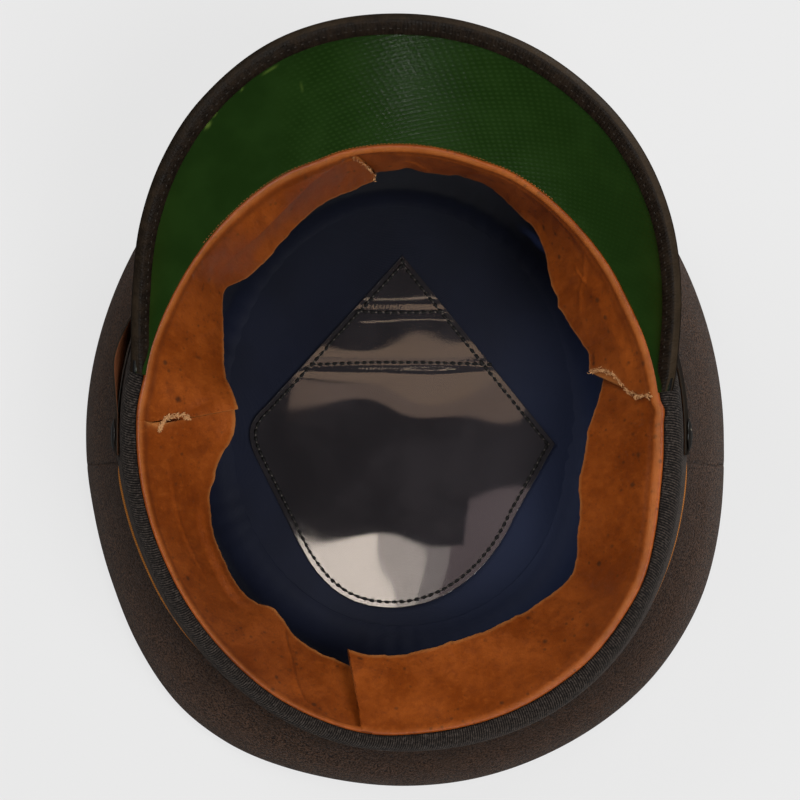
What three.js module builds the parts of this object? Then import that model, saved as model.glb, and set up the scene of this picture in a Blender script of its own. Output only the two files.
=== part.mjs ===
// A peaked wool cap lying upside down on its crown. Millimetres, +Z up.
//
// The cap is drawn in its own frame: u across it, v towards the peak and w out of the
// head opening, from the middle of the rim. A turned group then lays the flat crown on
// the ground. Angles go round the rim: 0 is the right side, 90 the peak, 180 the left.

import * as THREE from 'three';
import { LoftGeometry } from 'three/addons/geometries/LoftGeometry.js';

const { degToRad, lerp } = THREE.MathUtils;

// Driving dimensions

const rim = { half: 88, front: 98.5, back: 98.5, sway: 0, fullRight: 0.034, fullLeft: -0.02, skew: 0 };
const bandHead = { half: 99, front: 109, back: 106.5, sway: 0.3, fullRight: 0.036, fullLeft: -0.01, skew: 0 };
const crownWidest = { half: 115.5, front: 132, back: 124.5, sway: 1.7, fullRight: 0.042, fullLeft: 0.021, skew: -0.02 };
const liningHead = { half: 73, front: 92, back: 80, sway: 0, fullRight: 0.02, fullLeft: 0, skew: 0 };

const crownTilt = degToRad( 8.5 ); // between the rim and the flat of the crown
const crownDepth = 94; // from the middle of the rim to the flat of the crown
const bandHeight = 45;
const gap = 0.3; // between neighbouring pieces

const wall = { crown: 2.2, band: 2.4, lining: 0.8, sweatband: 1.2, peak: 2, binding: 0.9, strap: 1.8 };
const ringSteps = 72;

// Finishes: colour, roughness, metalness

const finish = {
	wool: { color: 0x4a3f38, roughness: 0.95, metalness: 0 },
	ribbed: { color: 0x33373c, roughness: 0.95, metalness: 0 },
	piping: { color: 0xb0681c, roughness: 0.85, metalness: 0 },
	green: { color: 0x1c3a12, roughness: 0.35, metalness: 0 },
	darkLeather: { color: 0x1e1713, roughness: 0.5, metalness: 0 },
	tanLeather: { color: 0xa3551d, roughness: 0.55, metalness: 0 },
	sateen: { color: 0x131c36, roughness: 0.6, metalness: 0 },
	celluloid: { color: 0x4a4648, roughness: 0.15, metalness: 0 },
	button: { color: 0x1a1817, roughness: 0.35, metalness: 0.6 },
};

// Helpers

// A point of an oval. The front and back halves have their own reach, and the back
// quarters are a little fuller or flatter than an ellipse, and a little askew.
function ovalPoint( oval, angle, grow = 0 ) {

	const c = Math.cos( angle );
	const s = Math.sin( angle );
	const full = s < 0 ? ( c > 0 ? oval.fullRight : oval.fullLeft ) : 0;
	const skew = s < 0 ? oval.skew * Math.sin( 4 * angle ) : 0;
	const swell = 1 + ( full + skew ) * Math.sin( 2 * angle ) ** 2;
	const reach = s > 0 ? oval.front : oval.back;
	return {
		u: oval.sway + ( oval.half + grow ) * c * swell,
		v: ( reach + grow ) * s * swell,
	};

}

function ovalBetween( from, to, share ) {

	const oval = {};
	for ( const key of Object.keys( from ) ) oval[ key ] = lerp( from[ key ], to[ key ], share );
	return oval;

}

// Depth of the crown's flat below the rim, which grows towards the peak.
function flatDepth( v ) {

	return crownDepth + v * Math.tan( crownTilt );

}

// Smooth value of a column of a table whose rows are in order of "at".
function fromTable( rows, column, at ) {

	const last = rows.length - 1;
	const x = THREE.MathUtils.clamp( at, rows[ 0 ].at, rows[ last ].at );
	let i = 0;
	while ( i < last - 1 && rows[ i + 1 ].at < x ) i ++;
	const slope = ( k ) => {

		const before = rows[ Math.max( k - 1, 0 ) ];
		const after = rows[ Math.min( k + 1, last ) ];
		return ( after[ column ] - before[ column ] ) / ( after.at - before.at );

	};

	const span = rows[ i + 1 ].at - rows[ i ].at;
	const t = ( x - rows[ i ].at ) / span;
	const a = rows[ i ][ column ];
	const b = rows[ i + 1 ][ column ];
	const start = a * ( 1 + 2 * t ) * ( 1 - t ) ** 2 + b * t * t * ( 3 - 2 * t );
	return start + span * ( slope( i ) * t * ( 1 - t ) ** 2 - slope( i + 1 ) * t * t * ( 1 - t ) );

}

// Unit normal of surface( angle, b ), by small steps along and across it.
function surfaceNormal( surface, angle, b ) {

	const step = 0.001;
	const along = surface( angle + step, b ).sub( surface( angle - step, b ) );
	const across = surface( angle, b + step ).sub( surface( angle, Math.max( b - step, 0 ) ) );
	return across.cross( along ).normalize();

}

// One section through a sheet: its face, then its back in the other order.
function sheetSection( surface, angle, stops, thickness ) {

	const face = stops.map( ( b ) => surface( angle, b ) );
	const back = stops.map( ( b, i ) =>
		face[ i ].clone().addScaledVector( surfaceNormal( surface, angle, b ), - thickness ) );
	return [ ...face, ...back.reverse() ];

}

// Shares from 0 to 1, both ends included.
function evenStops( count ) {

	return Array.from( { length: count + 1 }, ( _, i ) => i / count );

}

// Angles all the way round, without coming back to the first.
function roundAngles( count ) {

	return Array.from( { length: count }, ( _, i ) => i / count * 2 * Math.PI );

}

// A sheet of even thickness all the way round the cap.
function sheetRing( surface, stops, thickness ) {

	const sections = roundAngles( ringSteps ).map( ( angle ) => sheetSection( surface, angle, stops, thickness ) );
	sections.push( sections[ 0 ] );
	return new LoftGeometry( sections, { closed: true } );

}

// A sheet of even thickness from one angle to another.
function sheetStrip( surface, stops, thickness, from, to, steps ) {

	const sections = evenStops( steps ).map( ( share ) =>
		sheetSection( surface, degToRad( lerp( from, to, share ) ), stops, thickness ) );
	return new LoftGeometry( sections, { closed: true, capStart: true, capEnd: true } );

}

// A closed plate through rings of equal count, with a middle point on either face. The
// rings run from the lower face, whose middle is given first, to the upper face.
function plateThroughRings( lowMiddle, rings, highMiddle ) {

	const count = rings[ 0 ].length;
	const points = [ lowMiddle, ...rings.flat(), highMiddle ];
	const top = points.length - 1;
	const index = [];
	for ( let j = 0; j < count; j ++ ) {

		const next = ( j + 1 ) % count;
		index.push( 0, 1 + next, 1 + j );
		for ( let i = 0; i < rings.length - 1; i ++ ) {

			const low = 1 + i * count;
			const high = low + count;
			index.push( low + j, low + next, high + j, low + next, high + next, high + j );

		}

		const lastRing = 1 + ( rings.length - 1 ) * count;
		index.push( lastRing + j, lastRing + next, top );

	}

	const geometry = new THREE.BufferGeometry().setFromPoints( points );
	geometry.setIndex( index );
	geometry.computeVertexNormals();
	return geometry;

}

function piece( name, geometry, look ) {

	const mesh = new THREE.Mesh( geometry, new THREE.MeshStandardMaterial( look ) );
	mesh.name = name;
	return mesh;

}

// Crown: rise is 1 at the band and 0 at the flat, spread 0 at the band's head and 1 at
// the crown's widest oval.

const crownProfile = [
	{ at: 0, rise: 1, spread: - 0.08 },
	{ at: 0.07, rise: 0.94, spread: 0.05 },
	{ at: 0.22, rise: 0.8, spread: 0.34 },
	{ at: 0.41, rise: 0.62, spread: 0.67 },
	{ at: 0.59, rise: 0.44, spread: 0.89 },
	{ at: 0.74, rise: 0.28, spread: 1 },
	{ at: 0.84, rise: 0.16, spread: 0.97 },
	{ at: 0.94, rise: 0.06, spread: 0.82 },
	{ at: 1, rise: 0.02, spread: 0.67 },
	{ at: 1.06, rise: 0.003, spread: 0.49 },
	{ at: 1.13, rise: 0, spread: 0.28 },
];
const crownSeam = { left: 184.5, right: - 4.5, halfWidth: 0.08, edge: 0.01 }; // degrees, and along the profile
const crownEdge = 1; // where on the profile the side panels meet the top
const crownFoot = bandHeight + 2.2; // the crown starts just behind the piping

function crownPoint( angle, rise, spread ) {

	const { u, v } = ovalPoint( ovalBetween( bandHead, crownWidest, spread ), angle );
	return new THREE.Vector3( u, v, - lerp( flatDepth( v ), crownFoot, rise ) );

}

function crownSurface( angle, b ) {

	return crownPoint( angle, fromTable( crownProfile, 'rise', b ), fromTable( crownProfile, 'spread', b ) );

}

function makeCrownSide( name, from, to, steps ) {

	const stops = crownProfile.map( ( row ) => row.at ).filter( ( at ) => at <= crownEdge );
	const { halfWidth } = crownSeam;
	const strip = sheetStrip( crownSurface, stops, wall.crown, from + halfWidth, to - halfWidth, steps );
	return piece( name, strip, finish.wool );

}

function makeCrownTop() {

	const stops = crownProfile.map( ( row ) => row.at ).filter( ( at ) => at > crownEdge );
	stops.unshift( crownEdge + crownSeam.edge );
	const sections = roundAngles( ringSteps ).map( ( angle ) =>
		sheetSection( crownSurface, angle, stops, wall.crown ) );
	const ring = ( i ) => sections.map( ( section ) => section[ i ] );
	const count = stops.length;
	const outside = stops.map( ( _, i ) => ring( i ) ).reverse();
	const inside = stops.map( ( _, i ) => ring( 2 * count - 1 - i ) );
	const foot = new THREE.Vector3( 0, 0, - crownDepth );
	const top = new THREE.Vector3( 0, 0, wall.crown / Math.cos( crownTilt ) - crownDepth );
	return piece( 'crown_top', plateThroughRings( foot, [ ...outside, ...inside ], top ), finish.wool );

}

// Band and piping

const bandFoot = { grow: 3.8, rounding: 0.8, roundingEnd: 0.03 };
const bandBulge = 1.4;
const piping = { radius: 1, sides: 6 };

function bandSurface( angle, b ) {

	const rounding = bandFoot.rounding * Math.max( 0, 1 - b / bandFoot.roundingEnd );
	const grow = bandFoot.grow * ( 1 - b ) + bandBulge * Math.sin( Math.PI * b ) - rounding;
	const { u, v } = ovalPoint( ovalBetween( rim, bandHead, b ), angle, grow );
	return new THREE.Vector3( u, v, - bandHeight * b );

}

function makeBand() {

	const stops = [ 0, bandFoot.roundingEnd, 0.35, 0.68, 1 ];
	return piece( 'cap_band', sheetRing( bandSurface, stops, wall.band ), finish.ribbed );

}

function makePiping() {

	const section = ( angle ) => roundAngles( piping.sides ).map( ( turn ) => {

		const { u, v } = ovalPoint( bandHead, angle, piping.radius * ( 1 + Math.cos( turn ) ) );
		return new THREE.Vector3( u, v, - bandHeight - piping.radius * ( 1 + Math.sin( turn ) ) );

	} );
	const sections = roundAngles( ringSteps ).map( section );
	sections.push( sections[ 0 ] );
	return piece( 'band_piping', new LoftGeometry( sections, { closed: true } ), finish.piping );

}

// Peak: reach is how far the edge stands out from the rim, in plan, at each angle.

const peakReach = [
	{ at: 9, reach: 1.6 },
	{ at: 18, reach: 6.9 },
	{ at: 27, reach: 14 },
	{ at: 37, reach: 22.1 },
	{ at: 47, reach: 28.6 },
	{ at: 57, reach: 33.2 },
	{ at: 72, reach: 37.6 },
	{ at: 90, reach: 39.5 },
	{ at: 108, reach: 38.4 },
	{ at: 123, reach: 32.4 },
	{ at: 133, reach: 26 },
	{ at: 143, reach: 18.2 },
	{ at: 152, reach: 10.5 },
	{ at: 162, reach: 3.6 },
	{ at: 168, reach: 1.5 },
];
const peakSeam = { grow: 0.5, lift: 2.1, right: 9.5, left: 167, steps: 34 };
const peakSlope = { tip: degToRad( 38 ), side: degToRad( 52 ) };
const peakHollow = 0.2; // how much the underside dips between seam and edge

// A point of the underside; b runs from the seam to the edge, and may go past it.
function peakSurface( angle, b ) {

	const { u, v } = ovalPoint( rim, angle, peakSeam.grow );
	const away = new THREE.Vector2( u, v ).normalize();
	const reach = fromTable( peakReach, 'reach', THREE.MathUtils.radToDeg( angle ) ) - peakSeam.grow;
	const slope = lerp( peakSlope.tip, peakSlope.side, Math.cos( angle ) ** 2 );
	const rise = reach * Math.tan( slope ) * b * ( 1 - peakHollow * ( 1 - b ) );
	return new THREE.Vector3( u + away.x * reach * b, v + away.y * reach * b, peakSeam.lift + rise );

}

function makePeak() {

	const { right, left, steps } = peakSeam;
	const plate = sheetStrip( peakSurface, [ 0, 0.25, 0.5, 0.75, 1 ], wall.peak, right, left, steps );
	return piece( 'peak', plate, finish.green );

}

// The binding is a folded strip: across is measured outwards from the peak's edge along
// its slope, and up from its underside.
const bindingWidth = { full: 5, mostOfPeak: 0.85 };

function bindingSection( angle ) {

	const edge = peakSurface( angle, 1 );
	const slant = edge.distanceTo( peakSurface( angle, 0 ) );
	const width = Math.min( bindingWidth.full, bindingWidth.mostOfPeak * slant );
	const outward = edge.clone().sub( peakSurface( angle, 0.98 ) ).normalize(); // just short of the edge
	const up = surfaceNormal( peakSurface, angle, 1 );
	const low = - wall.peak - gap;
	const outer = gap + wall.binding;
	const corners = [
		{ across: - width, up: gap },
		{ across: - width, up: outer },
		{ across: gap, up: outer },
		{ across: outer, up: 0 },
		{ across: outer, up: - wall.peak },
		{ across: gap, up: low - wall.binding },
		{ across: - width, up: low - wall.binding },
		{ across: - width, up: low },
		{ across: gap, up: low },
		{ across: gap, up: gap },
	];
	return corners.map( ( corner ) =>
		edge.clone().addScaledVector( outward, corner.across ).addScaledVector( up, corner.up ) );

}

function makeBinding() {

	const { right, left, steps } = peakSeam;
	const angles = evenStops( steps ).map( ( share ) => degToRad( lerp( right, left, share ) ) );
	const sections = angles.map( bindingSection );
	const strip = new LoftGeometry( sections, { closed: true, capStart: true, capEnd: true } );
	return piece( 'peak_binding', strip, finish.darkLeather );

}

// Sweatband: the strip is sewn along the rim and leans in by "lean" at its free edge.

const sweatbandHeight = 46;
const sweatbandLift = 1.6; // the sewn edge stands this far above the rim
const sweatbandCurl = 1.3; // above 1 the strip starts steeper at the rim
const sweatbandStep = 4.5; // degrees between sections
const sweatbandLean = {
	sweatband_front_right: [
		{ at: 10.9, lean: 18 },
		{ at: 17, lean: 14.5 },
		{ at: 25, lean: 17 },
		{ at: 38, lean: 18.5 },
		{ at: 45, lean: 15 },
		{ at: 55, lean: 7.5 },
		{ at: 66, lean: 4.5 },
		{ at: 74, lean: 3.5 },
		{ at: 84, lean: 5 },
		{ at: 95.8, lean: 4 },
	],
	sweatband_front_left: [
		{ at: 96, lean: 7.5 },
		{ at: 103, lean: 9.5 },
		{ at: 115, lean: 12.5 },
		{ at: 126, lean: 16 },
		{ at: 136, lean: 15.5 },
		{ at: 143, lean: 12 },
		{ at: 154, lean: 20 },
		{ at: 163, lean: 25 },
		{ at: 173.8, lean: 31 },
	],
	sweatband_back_left: [
		{ at: 174, lean: 31 },
		{ at: 180, lean: 29 },
		{ at: 185, lean: 25 },
		{ at: 192, lean: 21.5 },
		{ at: 203, lean: 16 },
		{ at: 216, lean: 14 },
		{ at: 229, lean: 18.5 },
		{ at: 240, lean: 17 },
		{ at: 252.8, lean: 17 },
	],
	sweatband_back_right: [
		{ at: 253, lean: 22.5 },
		{ at: 262, lean: 22.5 },
		{ at: 276, lean: 25.5 },
		{ at: 290, lean: 25.5 },
		{ at: 306, lean: 23.5 },
		{ at: 325, lean: 18 },
		{ at: 335, lean: 20 },
		{ at: 348, lean: 24.5 },
		{ at: 358, lean: 24 },
		{ at: 370.7, lean: 18.5 },
	],
};

function sweatbandSurface( rows ) {

	return ( angle, b ) => {

		const lean = fromTable( rows, 'lean', THREE.MathUtils.radToDeg( angle ) );
		const drop = Math.sqrt( sweatbandHeight ** 2 - lean ** 2 );
		const { u, v } = ovalPoint( rim, angle, - lean * b ** sweatbandCurl );
		return new THREE.Vector3( u, v, sweatbandLift - drop * b );

	};

}

function makeSweatband( name, rows ) {

	const from = rows[ 0 ].at;
	const to = rows[ rows.length - 1 ].at;
	const steps = Math.round( ( to - from ) / sweatbandStep );
	const strip = sheetStrip( sweatbandSurface( rows ), [ 0, 0.3, 0.65, 1 ], wall.sweatband, from, to, steps );
	return piece( name, strip, finish.tanLeather );

}

// Lining: a side wall down to a flat panel that lies on the crown.

const liningStart = 4; // depth of the side wall's sewn edge
const liningOff = 0.2; // between the rim's oval and the side wall
const liningClear = wall.crown + gap; // above the ground

function liningSurface( angle, b ) {

	const { u, v } = ovalPoint( ovalBetween( rim, liningHead, b ), angle, liningOff + wall.lining );
	const foot = flatDepth( v ) - liningClear;
	return new THREE.Vector3( u, v, - lerp( liningStart, foot, b ) );

}

function makeLiningSide() {

	return piece( 'lining_side', sheetRing( liningSurface, evenStops( 2 ), wall.lining ), finish.sateen );

}

function makeLiningTop() {

	const ring = ( lift ) => roundAngles( ringSteps ).map( ( angle ) => {

		const { u, v } = ovalPoint( liningHead, angle, - gap );
		return new THREE.Vector3( u, v, lift - flatDepth( v ) );

	} );
	const low = liningClear;
	const high = low + wall.lining;
	const plate = plateThroughRings(
		new THREE.Vector3( 0, 0, low - crownDepth ),
		[ ring( low ), ring( high ) ],
		new THREE.Vector3( 0, 0, high - crownDepth ) );
	return piece( 'lining_top', plate, finish.sateen );

}

// Sweat shield: a clear diamond with a round foot, flat on the lining. Each row is the
// end of a stretch of its outline, with the handles of the curve that leads there.

const shield = { thick: 0.6, curveSteps: 6, top: { u: 1, v: 67 } };
const shieldOutline = [
	{ name: 'left side', u: - 49, v: 11 },
	{ name: 'left corner', u: - 53, v: - 7, handles: [ - 56, 5, - 56, 0 ] },
	{ name: 'left foot', u: - 39, v: - 35 },
	{ name: 'foot', u: - 3, v: - 63, handles: [ - 31, - 52, - 22, - 63 ] },
	{ name: 'right foot', u: 41.5, v: - 30, handles: [ 16, - 63, 32.5, - 50 ] },
	{ name: 'right corner', u: 56.5, v: - 3 },
];

function makeShield() {

	const outline = new THREE.Shape();
	outline.moveTo( shield.top.u, shield.top.v );
	for ( const { u, v, handles } of shieldOutline ) {

		if ( handles ) outline.bezierCurveTo( ...handles, u, v );
		else outline.lineTo( u, v );

	}

	outline.closePath();
	const settings = { depth: shield.thick, bevelEnabled: false, curveSegments: shield.curveSteps };
	return piece( 'sweat_shield', new THREE.ExtrudeGeometry( outline, settings ), finish.celluloid );

}

// Chin strap: lies on the band above the peak. The columns are how far its two edges
// stand off the band.

const strapStand = [
	{ at: - 2.6, rimEdge: 2.2, crownEdge: 0.4 },
	{ at: 2, rimEdge: 2.2, crownEdge: 0.4 },
	{ at: 9, rimEdge: 3.4, crownEdge: 0.5 },
	{ at: 16, rimEdge: 3.2, crownEdge: 0.5 },
	{ at: 23, rimEdge: 1.2, crownEdge: 0.4 },
	{ at: 30, rimEdge: 0.5, crownEdge: 0.4 },
	{ at: 142, rimEdge: 0.5, crownEdge: 0.4 },
	{ at: 150, rimEdge: 2, crownEdge: 0.6 },
	{ at: 157, rimEdge: 4.2, crownEdge: 0.9 },
	{ at: 165, rimEdge: 5.8, crownEdge: 1 },
	{ at: 171, rimEdge: 3.6, crownEdge: 0.6 },
	{ at: 176, rimEdge: 2.2, crownEdge: 0.4 },
	{ at: 182.6, rimEdge: 2.2, crownEdge: 0.4 },
];
const strap = { drop: 3.5, width: 14, steps: 50 };

function strapSurface( angle, b ) {

	const degrees = THREE.MathUtils.radToDeg( angle );
	const rimEdge = fromTable( strapStand, 'rimEdge', degrees );
	const stand = lerp( rimEdge, fromTable( strapStand, 'crownEdge', degrees ), b );
	const at = ( strap.drop + strap.width * b ) / bandHeight;
	const onBand = bandSurface( angle, at );
	const away = new THREE.Vector2( onBand.x, onBand.y ).normalize().multiplyScalar( stand + wall.strap );
	return onBand.add( new THREE.Vector3( away.x, away.y, 0 ) );

}

function makeStrap() {

	const from = strapStand[ 0 ].at;
	const to = strapStand[ strapStand.length - 1 ].at;
	return piece( 'chin_strap', sheetStrip( strapSurface, [ 0, 0.5, 1 ], wall.strap, from, to, strap.steps ),
		finish.darkLeather );

}

// Strap buttons: low domes on the strap's ends.

const button = { radius: 5.6, chamfer: 0.4, edge: 0.7, shoulder: 1, height: 2.2, sides: 20 };
const buttonSeat = { angle: 1, stand: 0.45 };

function makeButton( name, angle ) {

	const { radius, chamfer, edge, shoulder, height, sides } = button;
	const profile = [
		new THREE.Vector2( 0, 0 ),
		new THREE.Vector2( radius - chamfer, 0 ),
		new THREE.Vector2( radius, edge / 2 ),
		new THREE.Vector2( radius - chamfer, edge ),
	];
	for ( const share of evenStops( 4 ) ) {

		const turn = share * Math.PI / 2;
		const dome = edge + ( height - edge ) * Math.sin( turn );
		profile.push( new THREE.Vector2( ( radius - shoulder ) * Math.cos( turn ), dome ) );

	}

	const mesh = piece( name, new THREE.LatheGeometry( profile, sides ), finish.button );
	const out = surfaceNormal( strapSurface, angle, 0.5 );
	mesh.quaternion.setFromUnitVectors( new THREE.Vector3( 0, 1, 0 ), out );
	mesh.position.copy( strapSurface( angle, 0.5 ) ).addScaledVector( out, buttonSeat.stand );
	return mesh;

}

// Cap

const cap = new THREE.Group();
const shell = new THREE.Group();
shell.rotation.x = crownTilt;
shell.position.z = crownDepth * Math.cos( crownTilt );
cap.add( shell );

shell.add( makeCrownTop() );
shell.add( makeCrownSide( 'crown_side_front', crownSeam.right, crownSeam.left, 38 ) );
shell.add( makeCrownSide( 'crown_side_back', crownSeam.left, crownSeam.right + 360, 34 ) );
shell.add( makeBand() );
shell.add( makePiping() );
shell.add( makePeak() );
shell.add( makeBinding() );
for ( const [ name, rows ] of Object.entries( sweatbandLean ) ) shell.add( makeSweatband( name, rows ) );
shell.add( makeLiningSide() );
shell.add( makeLiningTop() );
shell.add( makeStrap() );
shell.add( makeButton( 'strap_button_right', degToRad( buttonSeat.angle ) ) );
shell.add( makeButton( 'strap_button_left', degToRad( 180 - buttonSeat.angle ) ) );

// The shield lies level, under the middle of the rim as seen square into the opening.
const clearShield = makeShield();
clearShield.position.y = crownDepth * Math.sin( crownTilt );
clearShield.position.z = liningClear + wall.lining + gap;
cap.add( clearShield );

// The origin is on the ground under the middle of the whole cap.
const extent = new THREE.Box3().setFromObject( cap, true );
const middle = extent.getCenter( new THREE.Vector3() );
cap.position.set( - middle.x, - middle.y, - extent.min.z );

export default cap;
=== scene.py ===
import math

import bpy
import numpy as np
from mathutils import Matrix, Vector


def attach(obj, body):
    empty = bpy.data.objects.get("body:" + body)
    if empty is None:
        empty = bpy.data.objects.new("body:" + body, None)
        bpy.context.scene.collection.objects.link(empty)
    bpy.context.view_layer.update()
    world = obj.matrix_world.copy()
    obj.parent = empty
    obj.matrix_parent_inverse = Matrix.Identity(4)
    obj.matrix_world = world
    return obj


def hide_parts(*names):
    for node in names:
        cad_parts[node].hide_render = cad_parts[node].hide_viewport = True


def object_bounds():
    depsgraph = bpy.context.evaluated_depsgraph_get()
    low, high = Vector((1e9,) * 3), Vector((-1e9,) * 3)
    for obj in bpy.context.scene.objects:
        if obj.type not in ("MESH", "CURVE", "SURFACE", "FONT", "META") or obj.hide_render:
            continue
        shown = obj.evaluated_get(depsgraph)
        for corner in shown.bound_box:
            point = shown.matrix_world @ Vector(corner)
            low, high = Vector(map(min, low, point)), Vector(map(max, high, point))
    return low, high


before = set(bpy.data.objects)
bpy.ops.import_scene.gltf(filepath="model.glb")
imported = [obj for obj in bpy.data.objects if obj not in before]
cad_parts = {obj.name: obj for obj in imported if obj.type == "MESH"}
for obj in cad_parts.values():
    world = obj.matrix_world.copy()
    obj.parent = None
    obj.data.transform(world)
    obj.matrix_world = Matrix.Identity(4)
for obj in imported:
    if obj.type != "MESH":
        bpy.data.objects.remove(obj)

cadLow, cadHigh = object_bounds()


# A table with one dictionary for each row, under the headings.
def rowsOf(headings, *rows):
    return [dict(zip(headings.split(), row)) for row in rows]


# Shapes are worked out in millimetres in the cap's own frame: u goes across the cap, v towards the peak
# and w out of the opening, from the middle of the rim. Angles go round the rim in degrees: 0 is the right
# side, 90 the peak and 180 the left side. A shape's last step turns it into the row frame, in metres.
capTilt = math.radians(8.5)
capDepth = 94  # from the middle of the rim to the flat of the crown
bandHeight = 45
millimetre = 0.001
capAxes = np.array([
    [1, 0, 0],
    [0, math.cos(capTilt), math.sin(capTilt)],
    [0, -math.sin(capTilt), math.cos(capTilt)],
])
rimOval, headOval, widestOval, liningOval = rowsOf(
    "half front back sway fullRight fullLeft skew",
    (88, 98.5, 98.5, 0, 0.034, -0.02, 0),
    (99, 109, 106.5, 0.3, 0.036, -0.01, 0),
    (115.5, 132, 124.5, 1.7, 0.042, 0.021, -0.02),
    (73, 92, 80, 0, 0.02, 0, 0),
)


# Point of an oval: u = sway + (half + grow) cos(angle) swell, v = (front or back + grow) sin(angle) swell.
# Swell is 1 in the front quarters, and 1 + (full + skew sin(4 angle)) sin(2 angle)^2 in the back ones.
def ovalPoint(oval, degrees, grow=0.0):
    angle = np.radians(degrees)
    c, s = np.cos(angle), np.sin(angle)
    full = np.where(c > 0, oval["fullRight"], oval["fullLeft"]) + oval["skew"] * np.sin(4 * angle)
    swell = 1 + np.where(s < 0, full, 0) * np.sin(2 * angle) ** 2
    reach = np.where(s > 0, oval["front"], oval["back"])
    return oval["sway"] + (oval["half"] + grow) * c * swell, (reach + grow) * s * swell


def ovalBetween(first, second, share):
    return {key: first[key] + (second[key] - first[key]) * share for key in first}


def place(u, v, w):
    return np.stack(np.broadcast_arrays(u, v, w), axis=-1).astype(float)


def unit(vectors):
    return vectors / np.maximum(np.linalg.norm(vectors, axis=-1, keepdims=True), 1e-9)


# Smooth curve through a table: a cubic between two rows, with the slope at a row taken from its neighbours.
def smoothTable(table, column, x):
    at, value = np.asarray(table["at"], float), np.asarray(table[column], float)
    slope = np.gradient(value, at)
    slope[1:-1] = (value[2:] - value[:-2]) / (at[2:] - at[:-2])
    x = np.clip(x, at[0], at[-1])
    i = np.clip(np.searchsorted(at, x, side="right") - 1, 0, len(at) - 2)
    span = at[i + 1] - at[i]
    t = (x - at[i]) / span
    level = value[i] * (1 + 2 * t) * (1 - t) ** 2 + value[i + 1] * t * t * (3 - 2 * t)
    return level + span * (slope[i] * t * (1 - t) ** 2 - slope[i + 1] * t * t * (1 - t))


# Gentle unevenness round the cap: a sum of sines of the angle, whose phases come from the seed and whose
# strength falls with their number of waves.
def wander(degrees, seed, waves=(2, 3, 5, 7, 11)):
    phases = np.random.default_rng(seed).uniform(0, 2 * math.pi, len(waves))
    total = sum(np.sin(n * np.radians(degrees) + p) / n ** 0.5 for n, p in zip(waves, phases))
    return total / len(waves) ** 0.5


def smoothStep(x, low, high):
    t = np.clip((x - low) / (high - low), 0, 1)
    return t * t * (3 - 2 * t)


# Bell curve of x round a middle: e to the power -((x - middle) / wide)^2.
def bell(x, middle, wide):
    return np.exp(-((x - middle) / wide) ** 2)


# Length of a line of points from its start to each of them: the sum of the steps.
def arcOf(line):
    return np.concatenate([[0], np.cumsum(np.linalg.norm(np.diff(line, axis=0), axis=1))])


# Even steps along a line of points: the places and the directions there.
def spacedAlong(line, pitch):
    arc = arcOf(line)
    at = np.arange(0, arc[-1], pitch)
    spots = np.stack([np.interp(at, arc, values) for values in line.T], 1)
    return spots, np.gradient(spots, axis=0)


# Meshes

def rollOn(grid, axis):
    return np.concatenate([grid, np.take(grid, [0], axis=axis)], axis=axis)


# Normals of a grid of points: the step across crossed with the step along.
def gridNormal(grid, closedAlong=False):
    along = np.roll(grid, -1, 0) - np.roll(grid, 1, 0) if closedAlong else np.gradient(grid, axis=0)
    return unit(np.cross(np.gradient(grid, axis=1), along))


def asQuads(triangles):
    return np.concatenate([triangles, triangles[:, 2:]], 1)


# Volume inside a surface of quads: a sixth of the sum of their corners' triple products.
def signedVolume(points, quads):
    a, b, c, d = (points[quads[:, k]] for k in range(4))
    return (a * (np.cross(b, c) + np.cross(c, d))).sum() / 6


# A mesh from quads and triangles whose points are in the cap's frame. "worn" and the like are numbers
# for each point, kept as attributes for the materials.
def putMesh(name, points, quads, quadMap, material, triangles=None, triangleMap=None, paint=None):
    triangles = np.zeros((0, 3), int) if triangles is None else triangles
    triangleMap = np.zeros((0, 3, 2)) if triangleMap is None else triangleMap
    if signedVolume(points, np.concatenate([quads, asQuads(triangles)])) < 0:
        quads, quadMap = quads[:, ::-1], quadMap[:, ::-1]
        triangles, triangleMap = triangles[:, ::-1], triangleMap[:, ::-1]
    mesh = bpy.data.meshes.new(name)
    mesh.vertices.add(len(points))
    mesh.vertices.foreach_set("co", toRow(points).astype(np.float32).ravel())
    corners = np.concatenate([quads.ravel(), triangles.ravel()]).astype(np.int32)
    starts = np.concatenate([np.arange(len(quads)) * 4, quads.size + np.arange(len(triangles)) * 3])
    mesh.loops.add(len(corners))
    mesh.loops.foreach_set("vertex_index", corners)
    mesh.polygons.add(len(starts))
    mesh.polygons.foreach_set("loop_start", starts.astype(np.int32))
    flatMap = np.concatenate([quadMap.reshape(-1, 2), triangleMap.reshape(-1, 2)])
    mesh.uv_layers.new(name="cloth").data.foreach_set("uv", flatMap.astype(np.float32).ravel())
    for key, values in (paint or {}).items():
        attribute = mesh.attributes.new(key, "FLOAT", "POINT")
        attribute.data.foreach_set("value", np.asarray(values, np.float32).ravel())
    mesh.update(calc_edges=True)
    mesh.validate()
    mesh.shade_smooth()
    mesh.materials.append(material)
    return addObject(name, mesh)


def addObject(name, data):
    item = bpy.data.objects.new(name, data)
    bpy.context.scene.collection.objects.link(item)
    return item


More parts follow.
